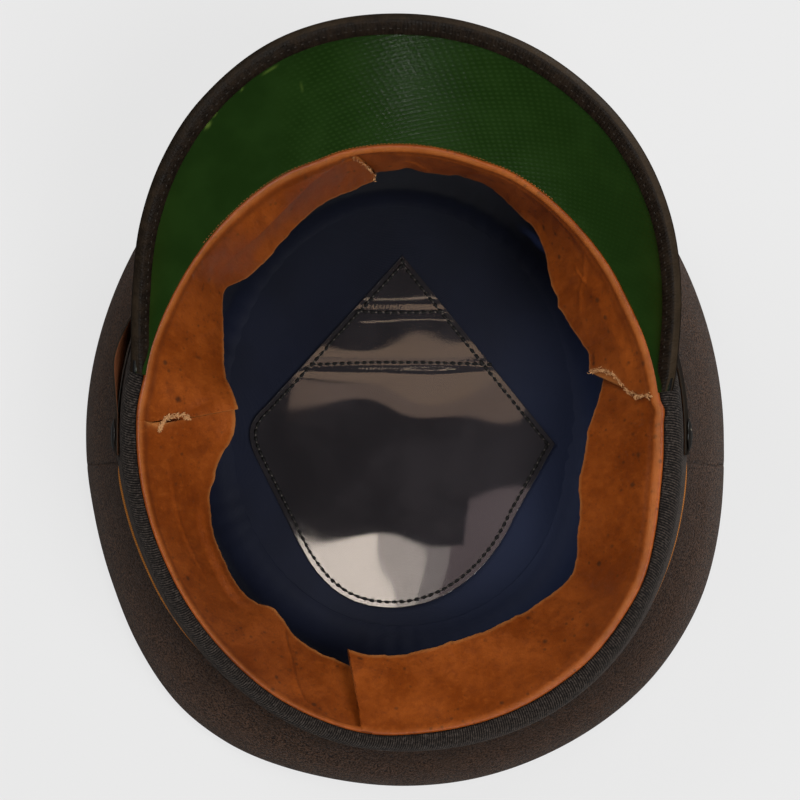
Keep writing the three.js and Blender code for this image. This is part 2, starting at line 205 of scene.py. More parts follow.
# Quads over a grid of points (along, across). Where it closes on itself the first row or column follows
# the last again, so that the texture map, in millimetres along and across, can run on past the seam.
def gridQuads(grid, closedAlong, closedAcross):
    index = np.arange(grid.shape[0] * grid.shape[1]).reshape(grid.shape[:2])
    for axis, closed in enumerate((closedAlong, closedAcross)):
        if closed:
            grid, index = rollOn(grid, axis), rollOn(index, axis)
    along = arcOf(grid[:, grid.shape[1] // 5])
    across = np.concatenate([[0], np.cumsum(np.linalg.norm(np.diff(grid, axis=1), axis=2).mean(0))])
    flat = np.stack(np.broadcast_arrays(along[:, None], across[None, :]), -1)
    corner = lambda g: np.stack([g[:-1, :-1], g[1:, :-1], g[1:, 1:], g[:-1, 1:]], 2)
    return corner(index).reshape(-1, 4), corner(flat).reshape(-1, 4, 2)


# Quads across the two ends of a closed section, from its point pairs on either side of a start.
def capQuads(count, rows, start=0):
    step = np.arange(count // 2)
    left, right = (step - start) % count, (-start - 1 - step) % count
    cap = np.stack([left[:-1], left[1:], right[1:], right[:-1]], -1)
    return np.concatenate([cap, cap[:, ::-1] + (rows - 1) * count])


# A wall of cloth or leather. Its face is a grid of points; its back lies a wall's thickness behind, and
# two half rounds join them at the first and the last column. Open ends are closed with quads.
def wallPiece(name, face, wall, material, closedAlong=False, paint=None, backStep=1, soft=2):
    wall = np.broadcast_to(np.asarray(wall, float), face.shape[:2])[..., None]
    normal = gridNormal(face, closedAlong)
    middle, back = face - normal * wall / 2, (face - normal * wall)[:, ::-backStep]
    turn = np.linspace(0, math.pi, soft + 2)[1:-1]

    def halfRound(column, inner, turns):
        out = unit(middle[:, column] - middle[:, inner])
        half = wall[:, column, None] / 2
        c, s = np.cos(turns)[None, :, None], np.sin(turns)[None, :, None]
        return middle[:, None, column] + half * c * normal[:, None, column] + np.abs(half) * s * out[:, None]

    loop = np.concatenate([face, halfRound(-1, -2, turn), back, halfRound(0, 1, turn[::-1])], 1)
    rows, count = loop.shape[:2]
    column = np.arange(face.shape[1])
    source = np.concatenate([column, column[[-1] * soft], column[::-backStep], column[[0] * soft]])
    paint = {key: np.broadcast_to(x, face.shape[:2])[:, source] for key, x in (paint or {}).items()}
    around, first = np.arange(count) + np.zeros((rows, 1)), len(column)
    paint["face"] = around < first
    paint["back"] = (around >= first + soft) & (around < count - soft)
    quads, quadMap = gridQuads(loop, closedAlong, True)
    if not closedAlong:
        ends = capQuads(count, rows, soft // 2)
        quads = np.concatenate([quads, ends])
        quadMap = np.concatenate([quadMap, np.stack([ends // count, ends % count], -1) * 0.2])
    return putMesh(name, loop.reshape(-1, 3), quads, quadMap, material, paint=paint)


# A closed plate through rings of points, from one middle point to the other.
def platePiece(name, rings, middles, material):
    points = np.concatenate([rings.reshape(-1, 3), middles])
    quads, quadMap = gridQuads(rings.transpose(1, 0, 2), True, False)
    count = rings.shape[1]
    quads = np.arange(rings.shape[0] * count).reshape(rings.shape[0], count).T.ravel()[quads]
    around, base = np.arange(count), len(points) - 2 - count
    first = np.stack([np.full(count, len(points) - 2), np.roll(around, -1), around], 1)
    last = np.stack([np.full(count, len(points) - 1), around + base, np.roll(around, -1) + base], 1)
    triangles = np.concatenate([first, last])
    if signedVolume(points, quads) * signedVolume(points, asQuads(triangles)) < 0:
        triangles = triangles[:, ::-1]
    return putMesh(name, points, quads, quadMap, material, triangles, points[triangles][..., :2])


# A tube along each path of points, with a radius, closed into a ring or with pinched ends.
def tubePiece(name, paths, radius, material, closed=False, sides=8):
    grids, maps, total = [], [], 0
    turn = np.arange(sides) * 2 * math.pi / sides
    for path in paths:
        step = unit(np.roll(path, -1, 0) - np.roll(path, 1, 0) if closed else np.gradient(path, axis=0))
        side = unit(np.cross(step, np.where(np.abs(step[:, 2:]) > 0.8, [[1.0, 0, 0]], [[0, 0, 1.0]])))
        width = np.full(len(path), float(radius))
        if not closed:
            count = np.arange(len(path))
            width *= np.clip(np.minimum(count, count[::-1]) + 0.05, 0, 1)
        ring = np.cos(turn)[:, None] * side[:, None] + np.sin(turn)[:, None] * np.cross(side, step)[:, None]
        grids.append(path[:, None] + ring * width[:, None, None])
        quads, quadMap = gridQuads(grids[-1], closed, True)
        maps.append((quads + total, quadMap))
        total += len(path) * sides
    points = np.concatenate([grid.reshape(-1, 3) for grid in grids])
    return putMesh(name, points, *(np.concatenate(part) for part in zip(*maps)), material)


# Many small stitches in one mesh. Each is a spindle whose half length, half width and half height go along
# "ahead", "aside" and "up" from its middle.
def stitchPiece(name, middles, ahead, up, size, material):
    stops, girth = np.array([[-1], [-0.75], [0], [0.75], [1]]), np.array([[0.3], [0.85], [1], [0.85], [0.3]])
    turn = np.arange(6) * math.pi / 3
    shape = place(stops * size[0], girth * np.cos(turn) * size[1], girth * np.sin(turn) * size[2])
    ahead = unit(ahead)
    aside = unit(np.cross(up, ahead))
    frames = np.stack([ahead, aside, np.cross(ahead, aside)], 1)
    points = middles[:, None] + shape.reshape(-1, 3) @ frames
    quads, quadMap = gridQuads(shape, False, True)
    ends = np.array([[3, 2, 1, 0], [5, 4, 3, 0], [25, 26, 27, 24], [27, 28, 29, 24]])
    quads = np.concatenate([quads, ends])
    quadMap = np.concatenate([quadMap, np.zeros((4, 4, 2))])
    shift = np.arange(len(middles))[:, None, None] * shape.shape[0] * shape.shape[1]
    quadMap = np.tile(quadMap, (len(middles), 1, 1))
    return putMesh(name, points.reshape(-1, 3), (quads + shift).reshape(-1, 4), quadMap, material)


# A piece rides on the cap's one body and stands for the CAD nodes it replaces, which are hidden.
def wear(piece, slotName, *nodes):
    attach(piece, "root")
    if nodes:
        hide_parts(*nodes)
    return piece


# Materials. The helpers work on the nodes of the newest material.

socketNames = {
    "color": "Base Color", "roughness": "Roughness", "ior": "IOR", "alpha": "Alpha",
    "specular": "Specular IOR Level", "sheen": "Sheen Weight", "sheenRoughness": "Sheen Roughness",
}


def newMaterial(name, **sockets):
    global tree
    material = bpy.data.materials.new(name)
    material.use_nodes = True
    tree = material.node_tree
    for key, value in sockets.items():
        shaderSocket(key).default_value = value
    return material


def shaderSocket(key):
    return tree.nodes["Principled BSDF"].inputs[socketNames.get(key, key)]


def wire(socket, output):
    tree.links.new(output, shaderSocket(socket))


def addNode(kind, inputs=None, **settings):
    node = tree.nodes.new("ShaderNode" + kind)
    for key, value in settings.items():
        setattr(node, key, value)
    for key, value in (inputs or {}).items():
        if isinstance(value, bpy.types.NodeSocket):
            tree.links.new(value, node.inputs[key])
        else:
            node.inputs[key].default_value = value
    return node


def objectPoint(stretch=(1, 1, 1)):
    return addNode("Mapping", {"Vector": addNode("TexCoord").outputs["Object"], "Scale": stretch}).outputs[0]


def clothPoint(turn=0.0):
    point = addNode("UVMap", uv_map="cloth").outputs[0]
    return addNode("Mapping", {"Vector": point, "Rotation": (0, 0, turn)}).outputs[0]


def noise(point, scale, detail=2.0, roughness=0.5):
    inputs = {"Vector": point, "Scale": scale, "Detail": detail, "Roughness": roughness}
    return addNode("TexNoise", inputs).outputs[0]


def cells(point, scale):
    return addNode("TexVoronoi", {"Vector": point, "Scale": scale}, feature="F1").outputs[0]


def ribs(point, direction, scale, distortion, detail=2.0, detailScale=1.0):
    inputs = {"Vector": point, "Scale": scale, "Distortion": distortion}
    inputs.update({"Detail": detail, "Detail Scale": detailScale})
    return addNode("TexWave", inputs, bands_direction=direction).outputs[1]


def paintOf(name):
    return addNode("Attribute", attribute_name=name).outputs["Fac"]


def calculate(operation, first, second):
    return addNode("Math", {0: first, 1: second}, operation=operation).outputs[0]


def times(first, second):
    return calculate("MULTIPLY", first, second)


def between(value, low, high, toLow=0.0, toHigh=1.0):
    inputs = {"Value": value, "From Min": low, "From Max": high, "To Min": toLow, "To Max": toHigh}
    return addNode("MapRange", inputs, interpolation_type="SMOOTHSTEP").outputs[0]


def mixColor(share, first, second):
    first, second = ((*color, 1) if isinstance(color, tuple) else color for color in (first, second))
    return addNode("Mix", {0: share, 6: first, 7: second}, data_type="RGBA").outputs[2]


# Colours laid over a first one: each covers what lies under it by its share, a number or a pattern.
def layered(tone, *layers):
    for share, color in layers:
        tone = mixColor(share, tone, color)
    return tone


def bumpFrom(*heights):
    inputs = {"Strength": 1.0}
    for height, distance in heights:
        inputs.update({"Height": height, "Distance": distance})
        inputs["Normal"] = addNode("Bump", inputs).outputs[0]
    wire("Normal", inputs["Normal"])


# Napped wool: short clumped fibres, soft blotches and a little warm lint, and painted shade darkening it by
# the band.
def makeWool():
    wool = newMaterial("napped wool", roughness=0.95, specular=0.04, sheen=0.10, sheenRoughness=0.45)
    point = objectPoint()
    fibre, blotch = noise(point, 1400, 3, 0.75), noise(point, 130, 3, 0.6)
    wire("color", layered(
        (0.0052, 0.0029, 0.0018),
        (between(fibre, 0.37, 0.63), (0.091, 0.0485, 0.0295)),
        (between(blotch, 0.35, 0.7, 0, 0.4), (0.034, 0.0195, 0.0125)),
        (between(noise(point, 700, 2, 0.9), 0.70, 0.80), (0.125, 0.085, 0.058)),
        # painted shade by the band
        (times(paintOf("shadeNearBand"), 0.6), (0.010, 0.0062, 0.0048)),
    ))
    bumpFrom((blotch, 0.0005), (fibre, 0.0006))
    return wool


# Ribbed band cloth: slanting cords under a millimetre apart, woven over by fine threads, paler towards its
# head in places, partly lint and partly painted light.
def makeRibbed():
    ribbed = newMaterial("ribbed band cloth", roughness=0.85, specular=0.08, sheen=0.05, sheenRoughness=0.4)
    thread = ribs(clothPoint(), "Y", 0.6, 1.0, 2.0, 2.0)
    point = objectPoint()
    fuzz, ridge = noise(point, 1000, 3, 0.7), paintOf("ridge")
    lint = times(between(noise(point, 800, 3, 0.8), 0.34, 0.62), between(ridge, 0.2, 0.9, 0.05, 1))
    wire("color", layered(
        (0.0014, 0.0012, 0.0011),
        (between(ridge, 0.1, 0.9), (0.048, 0.0375, 0.031)),
        (between(fuzz, 0.40, 0.62, 0.75, 0), (0.0045, 0.0040, 0.0040)),
        (between(fuzz, 0.52, 0.72, 0, 0.4), (0.080, 0.069, 0.062)),
        # lint and painted light: pale specks towards the head, strongest at the back and the back right
        (times(paintOf("dustAndLight"), lint), (0.195, 0.146, 0.117)),
    ))
    bumpFrom((thread, 0.00012), (fuzz, 0.0003))
    return ribbed


def makePipingCloth():
    cloth = newMaterial("piping cloth", roughness=0.8, specular=0.2)
    weave = ribs(clothPoint(turn=0.7), "X", 0.5, 0.6)
    worn = between(noise(objectPoint(), 90, 3), 0.55, 0.7)
    wire("color", layered((0.28, 0.085, 0.012), (weave, (0.55, 0.22, 0.04)), (worn, (0.10, 0.07, 0.05))))
    bumpFrom((weave, 0.0002))
    return cloth


# Peak board: green oilcloth underneath, stamped with curved rows and steep cross lines, and black lacquer on
# the other face. "row" and "cross" count the rows and the cross lines; "stamp" is how deep they are.
def makePeakBoard():
    board = newMaterial("peak board", specular=0.25)
    count = addNode("CombineXYZ", {"X": paintOf("cross"), "Y": paintOf("row")}).outputs[0]
    row, cross = (ribs(count, direction, 2 * math.pi / 20, 0.25, 1.0, 0.5) for direction in "YX")
    stamp = times(times(row, between(cross, 0.0, 1.0, 0.25, 1.0)), paintOf("stamp"))
    scuff, face = noise(objectPoint(), 60, 4, 0.6), paintOf("face")
    green = layered(
        (0.0073, 0.0235, 0.0024),
        (between(scuff, 0.35, 0.7), (0.0098, 0.0300, 0.0035)),
        # painted shading: the stamped rows painted paler green so that they show
        (between(stamp, 0.1, 0.9, 0, 0.65), (0.016, 0.043, 0.007)),
        (paintOf("chip"), (0.085, 0.140, 0.022)),
    )
    wire("color", mixColor(face, (0.006, 0.006, 0.006), green))
    wire("roughness", between(scuff, 0.3, 0.7, 0.19, 0.25))
    bumpFrom((times(stamp, face), 0.000065))
    return board


# Dark leather of the binding and the strap, paler where "worn" is painted: rub, and on the binding also
# painted light on its bend, stronger to the right. It has another colour on its raw side. Fine pleats run
# across it where "pleat" is painted, more strongly to the binding's right as painted light.
def makeDarkLeather(name, rawSide):
    leather = newMaterial(name, specular=0.12)
    point = objectPoint()
    cloud = noise(point, 300, 4, 0.65)
    pleat = times(ribs(clothPoint(), "X", 0.26, 2.0, 2.0, 1.5), paintOf("pleat"))
    wire("color", layered(
        (0.0055, 0.0034, 0.0019),
        (between(cloud, 0.35, 0.75), (0.0165, 0.0098, 0.0050)),
        (between(pleat, 0.2, 0.9, 0, 0.3), (0.026, 0.017, 0.010)),
        (paintOf("worn"), (0.060, 0.040, 0.022)),
        (paintOf("raw"), rawSide),
    ))
    wire("roughness", between(cloud, 0.3, 0.8, 0.50, 0.75))
    bumpFrom((cloud, 0.0003), (pleat, 0.00022), (cells(point, 1400), 0.00012))
    return leather


# Stains of the tan leather: "cells" to a metre, how far a stain fills its cell, and how strong it is.
# "shift" moves the pattern, and stains are left out where the patchy noise is under "clear".
stains = rowsOf(
    "cells reach strength shift clear",
    (140, 0.17, 0.70, 0.0, 0.45),
    (250, 0.21, 0.55, 3.1, 0.42),
    (75, 0.10, 0.80, 7.7, 0.47),
    (520, 0.26, 0.35, 5.3, 0.42),
)


def stainShare(point, row):
    inputs = {"Vector": point, "Location": (row["shift"], row["shift"], 0), "Scale": (1, 1, 0.5)}
    cell = cells(addNode("Mapping", inputs).outputs[0], row["cells"])
    patchy = between(noise(point, 38 + row["shift"], 2), row["clear"], row["clear"] + 0.1)
    return times(between(cell, row["reach"] * 0.3, row["reach"], 1, 0), times(patchy, row["strength"]))


# Tan sweatband leather: cloudy, with small dark stains, a fine grain and pale worn edges, a painted
# highlight along the rim, and darker where "dark" is painted: painted shade in the groove and a dark patch
# at the back left.
def makeTanLeather():
    leather = newMaterial("tan sweatband leather", specular=0.3)
    point, upright = objectPoint(), objectPoint((1, 1, 0.35))
    cloud, crease = noise(upright, 45, 4, 0.6), noise(upright, 160, 3, 0.65)
    streak = noise(objectPoint((1, 1, 0.12)), 420, 4, 0.7)
    wire("color", layered(
        (0.200, 0.039, 0.0028),
        (between(cloud, 0.3, 0.7), (0.325, 0.072, 0.0060)),
        (between(crease, 0.48, 0.7, 0, 0.4), (0.150, 0.029, 0.003)),
        (between(streak, 0.5, 0.7, 0, 0.3), (0.40, 0.098, 0.012)),
        (between(streak, 0.5, 0.3, 0, 0.32), (0.120, 0.022, 0.002)),
        *((stainShare(point, row), (0.045, 0.018, 0.006)) for row in stains),
        # painted shade in the groove under the rim, and a dark patch
        (paintOf("dark"), (0.065, 0.014, 0.003)),
        # pale worn edges and torn ends, and the painted highlight along the rim
        (times(paintOf("worn"), 0.8), (0.52, 0.205, 0.055)),
        (paintOf("mark"), (0.030, 0.011, 0.004)),
    ))
    wire("roughness", between(cloud, 0.3, 0.7, 0.42, 0.58))
    bumpFrom((crease, 0.0006), (noise(point, 1800, 3, 0.6), 0.00010))
    return leather


def makeFray():
    fray = newMaterial("frayed leather fibre", roughness=0.9, specular=0.2)
    wire("color", mixColor(noise(objectPoint(), 700, 2), (0.36, 0.15, 0.05), (0.74, 0.44, 0.21)))
    return fray


# Lining sateen: a close weave, paler to the right and the back as painted light, darker in front as painted
# shade, and brighter blue on painted lit spots.
def makeSateen():
    sateen = newMaterial("lining sateen", roughness=0.55, specular=0.12, sheen=0.02, sheenRoughness=0.4)
    weave, point = clothPoint(), objectPoint()
    cross = times(ribs(weave, "X", 0.7, 0.3), ribs(weave, "Y", 0.6, 0.3))
    x, y, z = addNode("SeparateXYZ", {"Vector": point}).outputs
    # painted light: the lining paler towards the right and the back
    paintedLightSlope = calculate("SUBTRACT", x, times(y, 0.4))
    wire("color", layered(
        (0.0068, 0.0088, 0.0190),
        (between(noise(point, 40, 3), 0.3, 0.7), (0.0090, 0.0117, 0.0258)),
        (between(cross, 0.2, 1, 0, 0.4), (0.012, 0.0155, 0.032)),
        (between(paintedLightSlope, 0.012, 0.078), (0.0150, 0.0222, 0.0530)),
        # painted shade: darker in front, towards the peak
        (between(y, 0.015, 0.085, 0, 0.6), (0.0030, 0.0036, 0.0060)),
        # painted light: brighter blue spots where the side wall catches light
        (paintOf("litSpots"), (0.030, 0.050, 0.140)),
    ))
    bumpFrom((cross, 0.00006))
    return sateen


# Clear film of the sweat shield: smoky and glossy, hazy in patches, a little duller where it was wiped.
def makeFilm():
    film = newMaterial("clear film", ior=1.5, specular=0.5, alpha=0.52)
    haze, wiped = noise(objectPoint(), 35, 4, 0.6), noise(objectPoint((1, 8, 1)), 60, 2, 0.6)
    wire("color", mixColor(between(haze, 0.35, 0.7), (0.024, 0.021, 0.023), (0.040, 0.035, 0.038)))
    wire("roughness", between(wiped, 0.4, 0.8, 0.022, 0.03))
    return film


def makeThread(name, color):
    thread = newMaterial(name, roughness=0.7, specular=0.3)
    wire("color", mixColor(noise(objectPoint(), 3000, 2), tuple(0.45 * c for c in color), color))
    return thread


def makeButtonMetal():
    metal = newMaterial("painted button metal", roughness=0.22, specular=0.5)
    chip = noise(objectPoint(), 500, 4, 0.7)
    wire("color", layered(
        (0.006, 0.005, 0.004),
        (between(chip, 0.5, 0.7), (0.03, 0.022, 0.014)),
        # painted highlights: small pale chips stand in for the buttons' glints
        (between(chip, 0.64, 0.70), (0.42, 0.36, 0.28)),
    ))
    bumpFrom((chip, 0.0001))
    return metal


# Crown: rise is 1 at the band and 0 at the flat; spread is 0 at the band's head and 1 at the widest oval.
crown = {
    "fuller": {
        "at": [0, 175, 184, 193, 204, 215, 226, 237, 249, 270, 300, 315, 326, 337, 348, 360],
        "grow": [0, 0, -0.3, -0.7, 0.2, 1.7, 1.8, 0.3, -0.6, -0.1, -0.5, -1.1, -1.4, -0.4, 0.3, 0],
    },
    "profile": {
        "at": [0, 0.07, 0.22, 0.41, 0.59, 0.74, 0.84, 0.94, 1, 1.06, 1.13],
        "rise": [1, 0.94, 0.8, 0.62, 0.44, 0.28, 0.16, 0.06, 0.02, 0.003, 0],
        "spread": [-0.08, 0.05, 0.34, 0.67, 0.89, 1, 0.97, 0.82, 0.67, 0.49, 0.28],
    },
    "wall": 2.2, "foot": bandHeight + 2.2, "edge": 1.0, "middle": 1.13, "steps": 340, "rows": 64,
    "sideSeams": (-4.5, 184.5), "seamHalf": 0.01, "seamRoll": 0.12, "seamWide": 0.4, "perDegree": 1.9,
    "topRound": 1.3, "topFall": 0.5, "topReach": 62, "unevenness": 0.45,
}


# Point of the crown: an oval between the band's head and the widest one, at a height between the band's
# foot and the flat, which lies deeper towards the peak.
def crownSurface(degrees, b):
    rise, spread = (smoothTable(crown["profile"], column, b) for column in ("rise", "spread"))
    fuller = smoothTable(crown["fuller"], "grow", np.asarray(degrees) % 360) * spread
    u, v = ovalPoint(ovalBetween(headOval, widestOval, spread), degrees, fuller)
    flat = capDepth + v * math.tan(capTilt)
    return place(u, v, -(flat + (crown["foot"] - flat) * rise))


# The rim's middle in the row frame, from the box round the CAD crown, which is the widest part of the cap.
roundTrip = crownSurface(np.arange(0, 360, 0.5)[:, None], np.linspace(0, crown["middle"], 200)[None, :])
roundTrip = roundTrip @ capAxes * millimetre
rimMiddle = (np.array(cadLow) + np.array(cadHigh)) / 2 - (roundTrip.max((0, 1)) + roundTrip.min((0, 1))) / 2
rimMiddle[2] = -roundTrip[..., 2].min()
print("rim middle in the row frame", rimMiddle.round(5))


def toRow(points):
    return points @ capAxes * millimetre + rimMiddle


# A side of the crown between two seams. Its ends roll in, dying away from the seam exponentially, and its
# edge on the flat rolls in by a circle's arc.
def makeCrownSide(name, node, start, end, material):
    degrees = np.linspace(start + crown["seamHalf"], end - crown["seamHalf"], crown["steps"])[:, None]
    b = np.linspace(0, crown["edge"], crown["rows"])[None, :]
    face = crownSurface(degrees, b)
    fromSeam = np.minimum(degrees - start, end - degrees) * crown["perDegree"]
    roll = crown["seamRoll"] * np.exp(-fromSeam / crown["seamWide"])
    uneven = crown["unevenness"] * wander(degrees, 3) * np.sin(math.pi * np.clip(b, 0, 1)) ** 0.5
    radius = crown["topRound"]
    inwards = np.clip(radius - (crown["edge"] - b) * crown["topReach"], 0, radius)
    rollTop = radius - np.sqrt(radius ** 2 - inwards ** 2)
    face += gridNormal(face) * (uneven - roll - crown["topFall"] * rollTop)[..., None]
    # painted shade: the side darker near the band, fading out over the first half of the side
    paint = {"shadeNearBand": (1 - smoothStep(b, 0.02, 0.45)) * (0.85 + 0.3 * wander(degrees, 15))}
    piece = wallPiece(name, face, crown["wall"], material, soft=4, paint=paint, backStep=2)
    return wear(piece, "wool", node)


def makeCrownTop(material):
    degrees = np.linspace(0, 360, crown["steps"], endpoint=False)[:, None]
    b = np.concatenate([[crown["edge"] + 0.01], np.linspace(1.02, crown["middle"], 12)])[None, :]
    outer = crownSurface(degrees, b)
    inner = outer - gridNormal(outer, True) * crown["wall"]
    middles = np.array([[0, 0, -capDepth], [0, 0, crown["wall"] / math.cos(capTilt) - capDepth]])
    shares = np.linspace(0.9, 0.1, 8)[:, None, None]
    lowFlat, highFlat = (m + (wall[None, :, -1] - m) * shares for m, wall in zip(middles, (outer, inner)))
    outer, inner = outer.transpose(1, 0, 2), inner.transpose(1, 0, 2)
    rings = np.concatenate([lowFlat[::-1], outer[::-1], inner, highFlat])
    return wear(platePiece("crownTop", rings, middles, material), "wool", "crown_top")


# Band: a sloping oval wall with a soft belly, rounded over at the rim. Its cords stand up as slanting
# ridges, four columns of points to a cord.
band = {
    "wall": 2.4, "topWall": 1.1, "clear": 0.75, "footGrow": 5.4, "belly": 0.8, "round": 3.6,
    "cords": 740, "cordHeight": 0.2, "slant": -15, "roundRows": 6, "rows": 14, "unevenness": 0.25,
    "head": {
        "at": [0, 15, 175, 184, 192, 203, 215, 232, 250, 270, 300, 330, 345, 360],
        "grow": [0.8, 0.8, -0.2, -0.4, -0.8, -1.0, -0.5, -0.2, 0.1, -0.2, 0.1, 0.4, 0.7, 0.8],
    },
    # Lint and painted light: its share round the cap by angle, and down the band from the rim to the head.
    "dustAndLightRound": {
        "at": [-60, -20, 20, 60, 170, 200, 240, 300],
        "dustAndLight": [0.85, 0.55, 0.35, 0.15, 0.25, 0.45, 0.85, 1],
    },
    "dustAndLightDown": {"at": [0, 0.03, 0.08, 0.2, 0.8, 0.93, 1], "share": [0.1, 0.2, 0.45, 0.5, 0.5, 0.9, 1]},
}


# Point of the band: a quarter ellipse from just outside the leather's edge to its full width, then a
# straight fall to the head's oval with half a sine wave of belly.
def bandSurface(degrees, b):
    down = np.asarray(b) * bandHeight
    turn = np.sqrt(np.clip(1 - (1 - down / band["round"]) ** 2, 0, 1))
    fall = np.clip((down - band["round"]) / (bandHeight - band["round"]), 0, 1)
    start = leatherEdge(degrees) + band["clear"]
    head = smoothTable(band["head"], "grow", np.asarray(degrees) % 360)
    wide = band["footGrow"] * (1 - fall) + band["belly"] * np.sin(math.pi * fall) + head
    grow = np.where(down < band["round"], start + (band["footGrow"] + head - start) * turn, wide)
    u, v = ovalPoint(ovalBetween(rimOval, headOval, b), degrees, grow)
    return place(u, v, -down)


def makeBand(material):
    turn = np.linspace(0, math.pi / 2, band["roundRows"])
    start = band["round"] / bandHeight
    rows = np.concatenate([start * (1 - np.cos(turn)), np.linspace(start, 1, band["rows"])[1:]])[None, :]
    column = np.arange(band["cords"] * 4)[:, None]
    degrees = column * 90 / band["cords"] + band["slant"] * rows
    face = bandSurface(degrees, rows)
    ridge = 0.5 - 0.5 * np.cos(column * math.pi / 2) + rows * 0
    lift = band["cordHeight"] * (ridge - 0.5) + band["unevenness"] * wander(degrees, 8)
    face += gridNormal(face, True) * lift[..., None]
    dustAndLightRound = smoothTable(band["dustAndLightRound"], "dustAndLight", (degrees + 60) % 360 - 60)
    paint = {"ridge": ridge, "dustAndLight": dustAndLightRound * smoothTable(band["dustAndLightDown"], "share", rows)}
    wall = band["topWall"] + (band["wall"] - band["topWall"]) * smoothStep(rows, 0, 0.15)
    piece = wallPiece("capBand", face, wall, material, closedAlong=True, paint=paint, backStep=4)
    return wear(piece, "ribbed_band", "cap_band")


# Piping: a thin covered cord between band and crown. "out" is how far its middle stands out from the band.
piping = {
    "radius": 0.55, "drop": bandHeight + 0.9, "unevenness": 0.25,
    "showing": {
        "at": [0, 150, 182, 186, 192, 215, 228, 250, 290, 315, 330, 345, 354, 360],
        "out": [-0.9, -0.8, -0.9, 0.6, 0.9, 0.8, 0.4, -0.6, -0.9, 0.1, 0.4, 0.5, 0.3, -0.9],
    },
}


def makePiping(material):
    degrees = np.arange(0, 360, 0.5)
    out = smoothTable(piping["showing"], "out", degrees) + smoothTable(band["head"], "grow", degrees)
    u, v = ovalPoint(headOval, degrees, out)
    path = place(u, v, -piping["drop"] + piping["unevenness"] * wander(degrees, 12, (4, 9, 17)))
    piece = tubePiece("bandPiping", [path], piping["radius"], material, closed=True, sides=12)
    return wear(piece, "piping", "band_piping")


# Peak: reach is how far its edge stands out from the rim, in plan, at each angle. The stamped rows are arcs
# about "arcMiddle", and the cross lines fan out from it, leaning over as they go.
peak = {
    "reach": {
        "at": [9, 18, 27, 37, 47, 57, 72, 90, 108, 123, 133, 143, 152, 162, 168],
        "reach": [1.6, 6.9, 13.5, 21, 27.3, 31.9, 36.5, 38.4, 37.2, 31, 24.6, 17, 9.7, 3.6, 1.5],
    },
    "seamGrow": 0.5, "seamLift": 2.1, "right": 9.5, "left": 167, "tipSlope": 38, "sideSlope": 52,
    "tuckedIn": 0.9, "hollow": 0.2, "wall": 2, "steps": 420, "rows": 60,
    "arcMiddle": (29, -23.8), "rowPitch": 1.35, "crossPitch": 2.04, "arcRadius": 133, "crossLean": 5.5,
    "stamp": {"at": [-75, -48, -32, 0, 15, 35, 60, 85], "deep": [0, 0.1, 0.65, 1, 1, 0.8, 0.5, 0.3]},
    "chips": rowsOf(
        "angle b long wide strength",
        (124.2, 0.845, 1.5, 0.8, 1),  # left chip
        (122.4, 0.86, 0.9, 0.5, 0.7),  # left flake
        (111.2, 0.865, 2.6, 0.4, 0.6),  # edge rub
        (116.5, 0.865, 0.7, 0.35, 0.6),  # edge speck
        (107.2, 0.62, 0.3, 2.2, 0.3),  # scratch
    ),
}


# Underside of the peak: from the rim's oval straight out by reach times b, rising with the slope, which goes
# from the tip's to the side's with the cosine squared of the angle, and hollowed a little between.
def peakSurface(degrees, b):
    u, v = ovalPoint(rimOval, degrees, peak["seamGrow"])
    length = np.hypot(u, v)
    reach = peakReach(degrees)
    side = np.cos(np.radians(degrees)) ** 2
    slope = np.radians(peak["tipSlope"] + (peak["sideSlope"] - peak["tipSlope"]) * side)
    rise = reach * np.tan(slope) * b * (1 - peak["hollow"] * (1 - b))
    return place(u + u / length * reach * b, v + v / length * reach * b, peak["seamLift"] + rise)


def peakReach(degrees):
    return smoothTable(peak["reach"], "reach", degrees) - peak["seamGrow"]


# Soft oval spots on a grid of points, one for each row of a table, at its angle and share of the height.
def spotsOn(grid, degrees, b, spots):
    total = np.zeros(grid.shape[:2])
    for spot in spots:
        k = np.abs(degrees - spot["angle"]).argmin()
        row = np.abs(b - spot["b"]).argmin()
        away = grid - grid[k, row]
        along = away @ unit(grid[min(k + 1, len(grid) - 1), row] - grid[k - 1, row])
        across = np.sqrt(np.maximum((away ** 2).sum(-1) - along ** 2, 0))
        away = (along / spot["long"]) ** 2 + (across / spot["wide"]) ** 2
        total += spot["strength"] * np.exp(-away ** 2)
    return np.clip(total, 0, 1)


def makePeak(material):
    degrees = np.linspace(peak["right"], peak["left"], peak["steps"])[:, None]
    share = np.linspace(0, 1, peak["rows"])[None, :]
    inner = (leatherEdge(degrees) - peak["tuckedIn"] - peak["seamGrow"]) / peakReach(degrees)
    face = peakSurface(degrees, inner + (1 - inner) * share)
    u, v = face[..., 0] - peak["arcMiddle"][0], face[..., 1] - peak["arcMiddle"][1]
    away = np.hypot(u, v)
    paint = {
        "row": away / peak["rowPitch"],
        "cross": peak["arcRadius"] * np.arctan2(u, v) / peak["crossPitch"] + away / peak["crossLean"],
        "stamp": smoothTable(peak["stamp"], "deep", face[..., 0]),
        "chip": spotsOn(face, degrees[:, 0], share[0], peak["chips"]),
    }
    piece = wallPiece("peak", face, peak["wall"], material, paint=paint, backStep=4)
    return wear(piece, "peak_green", "peak")


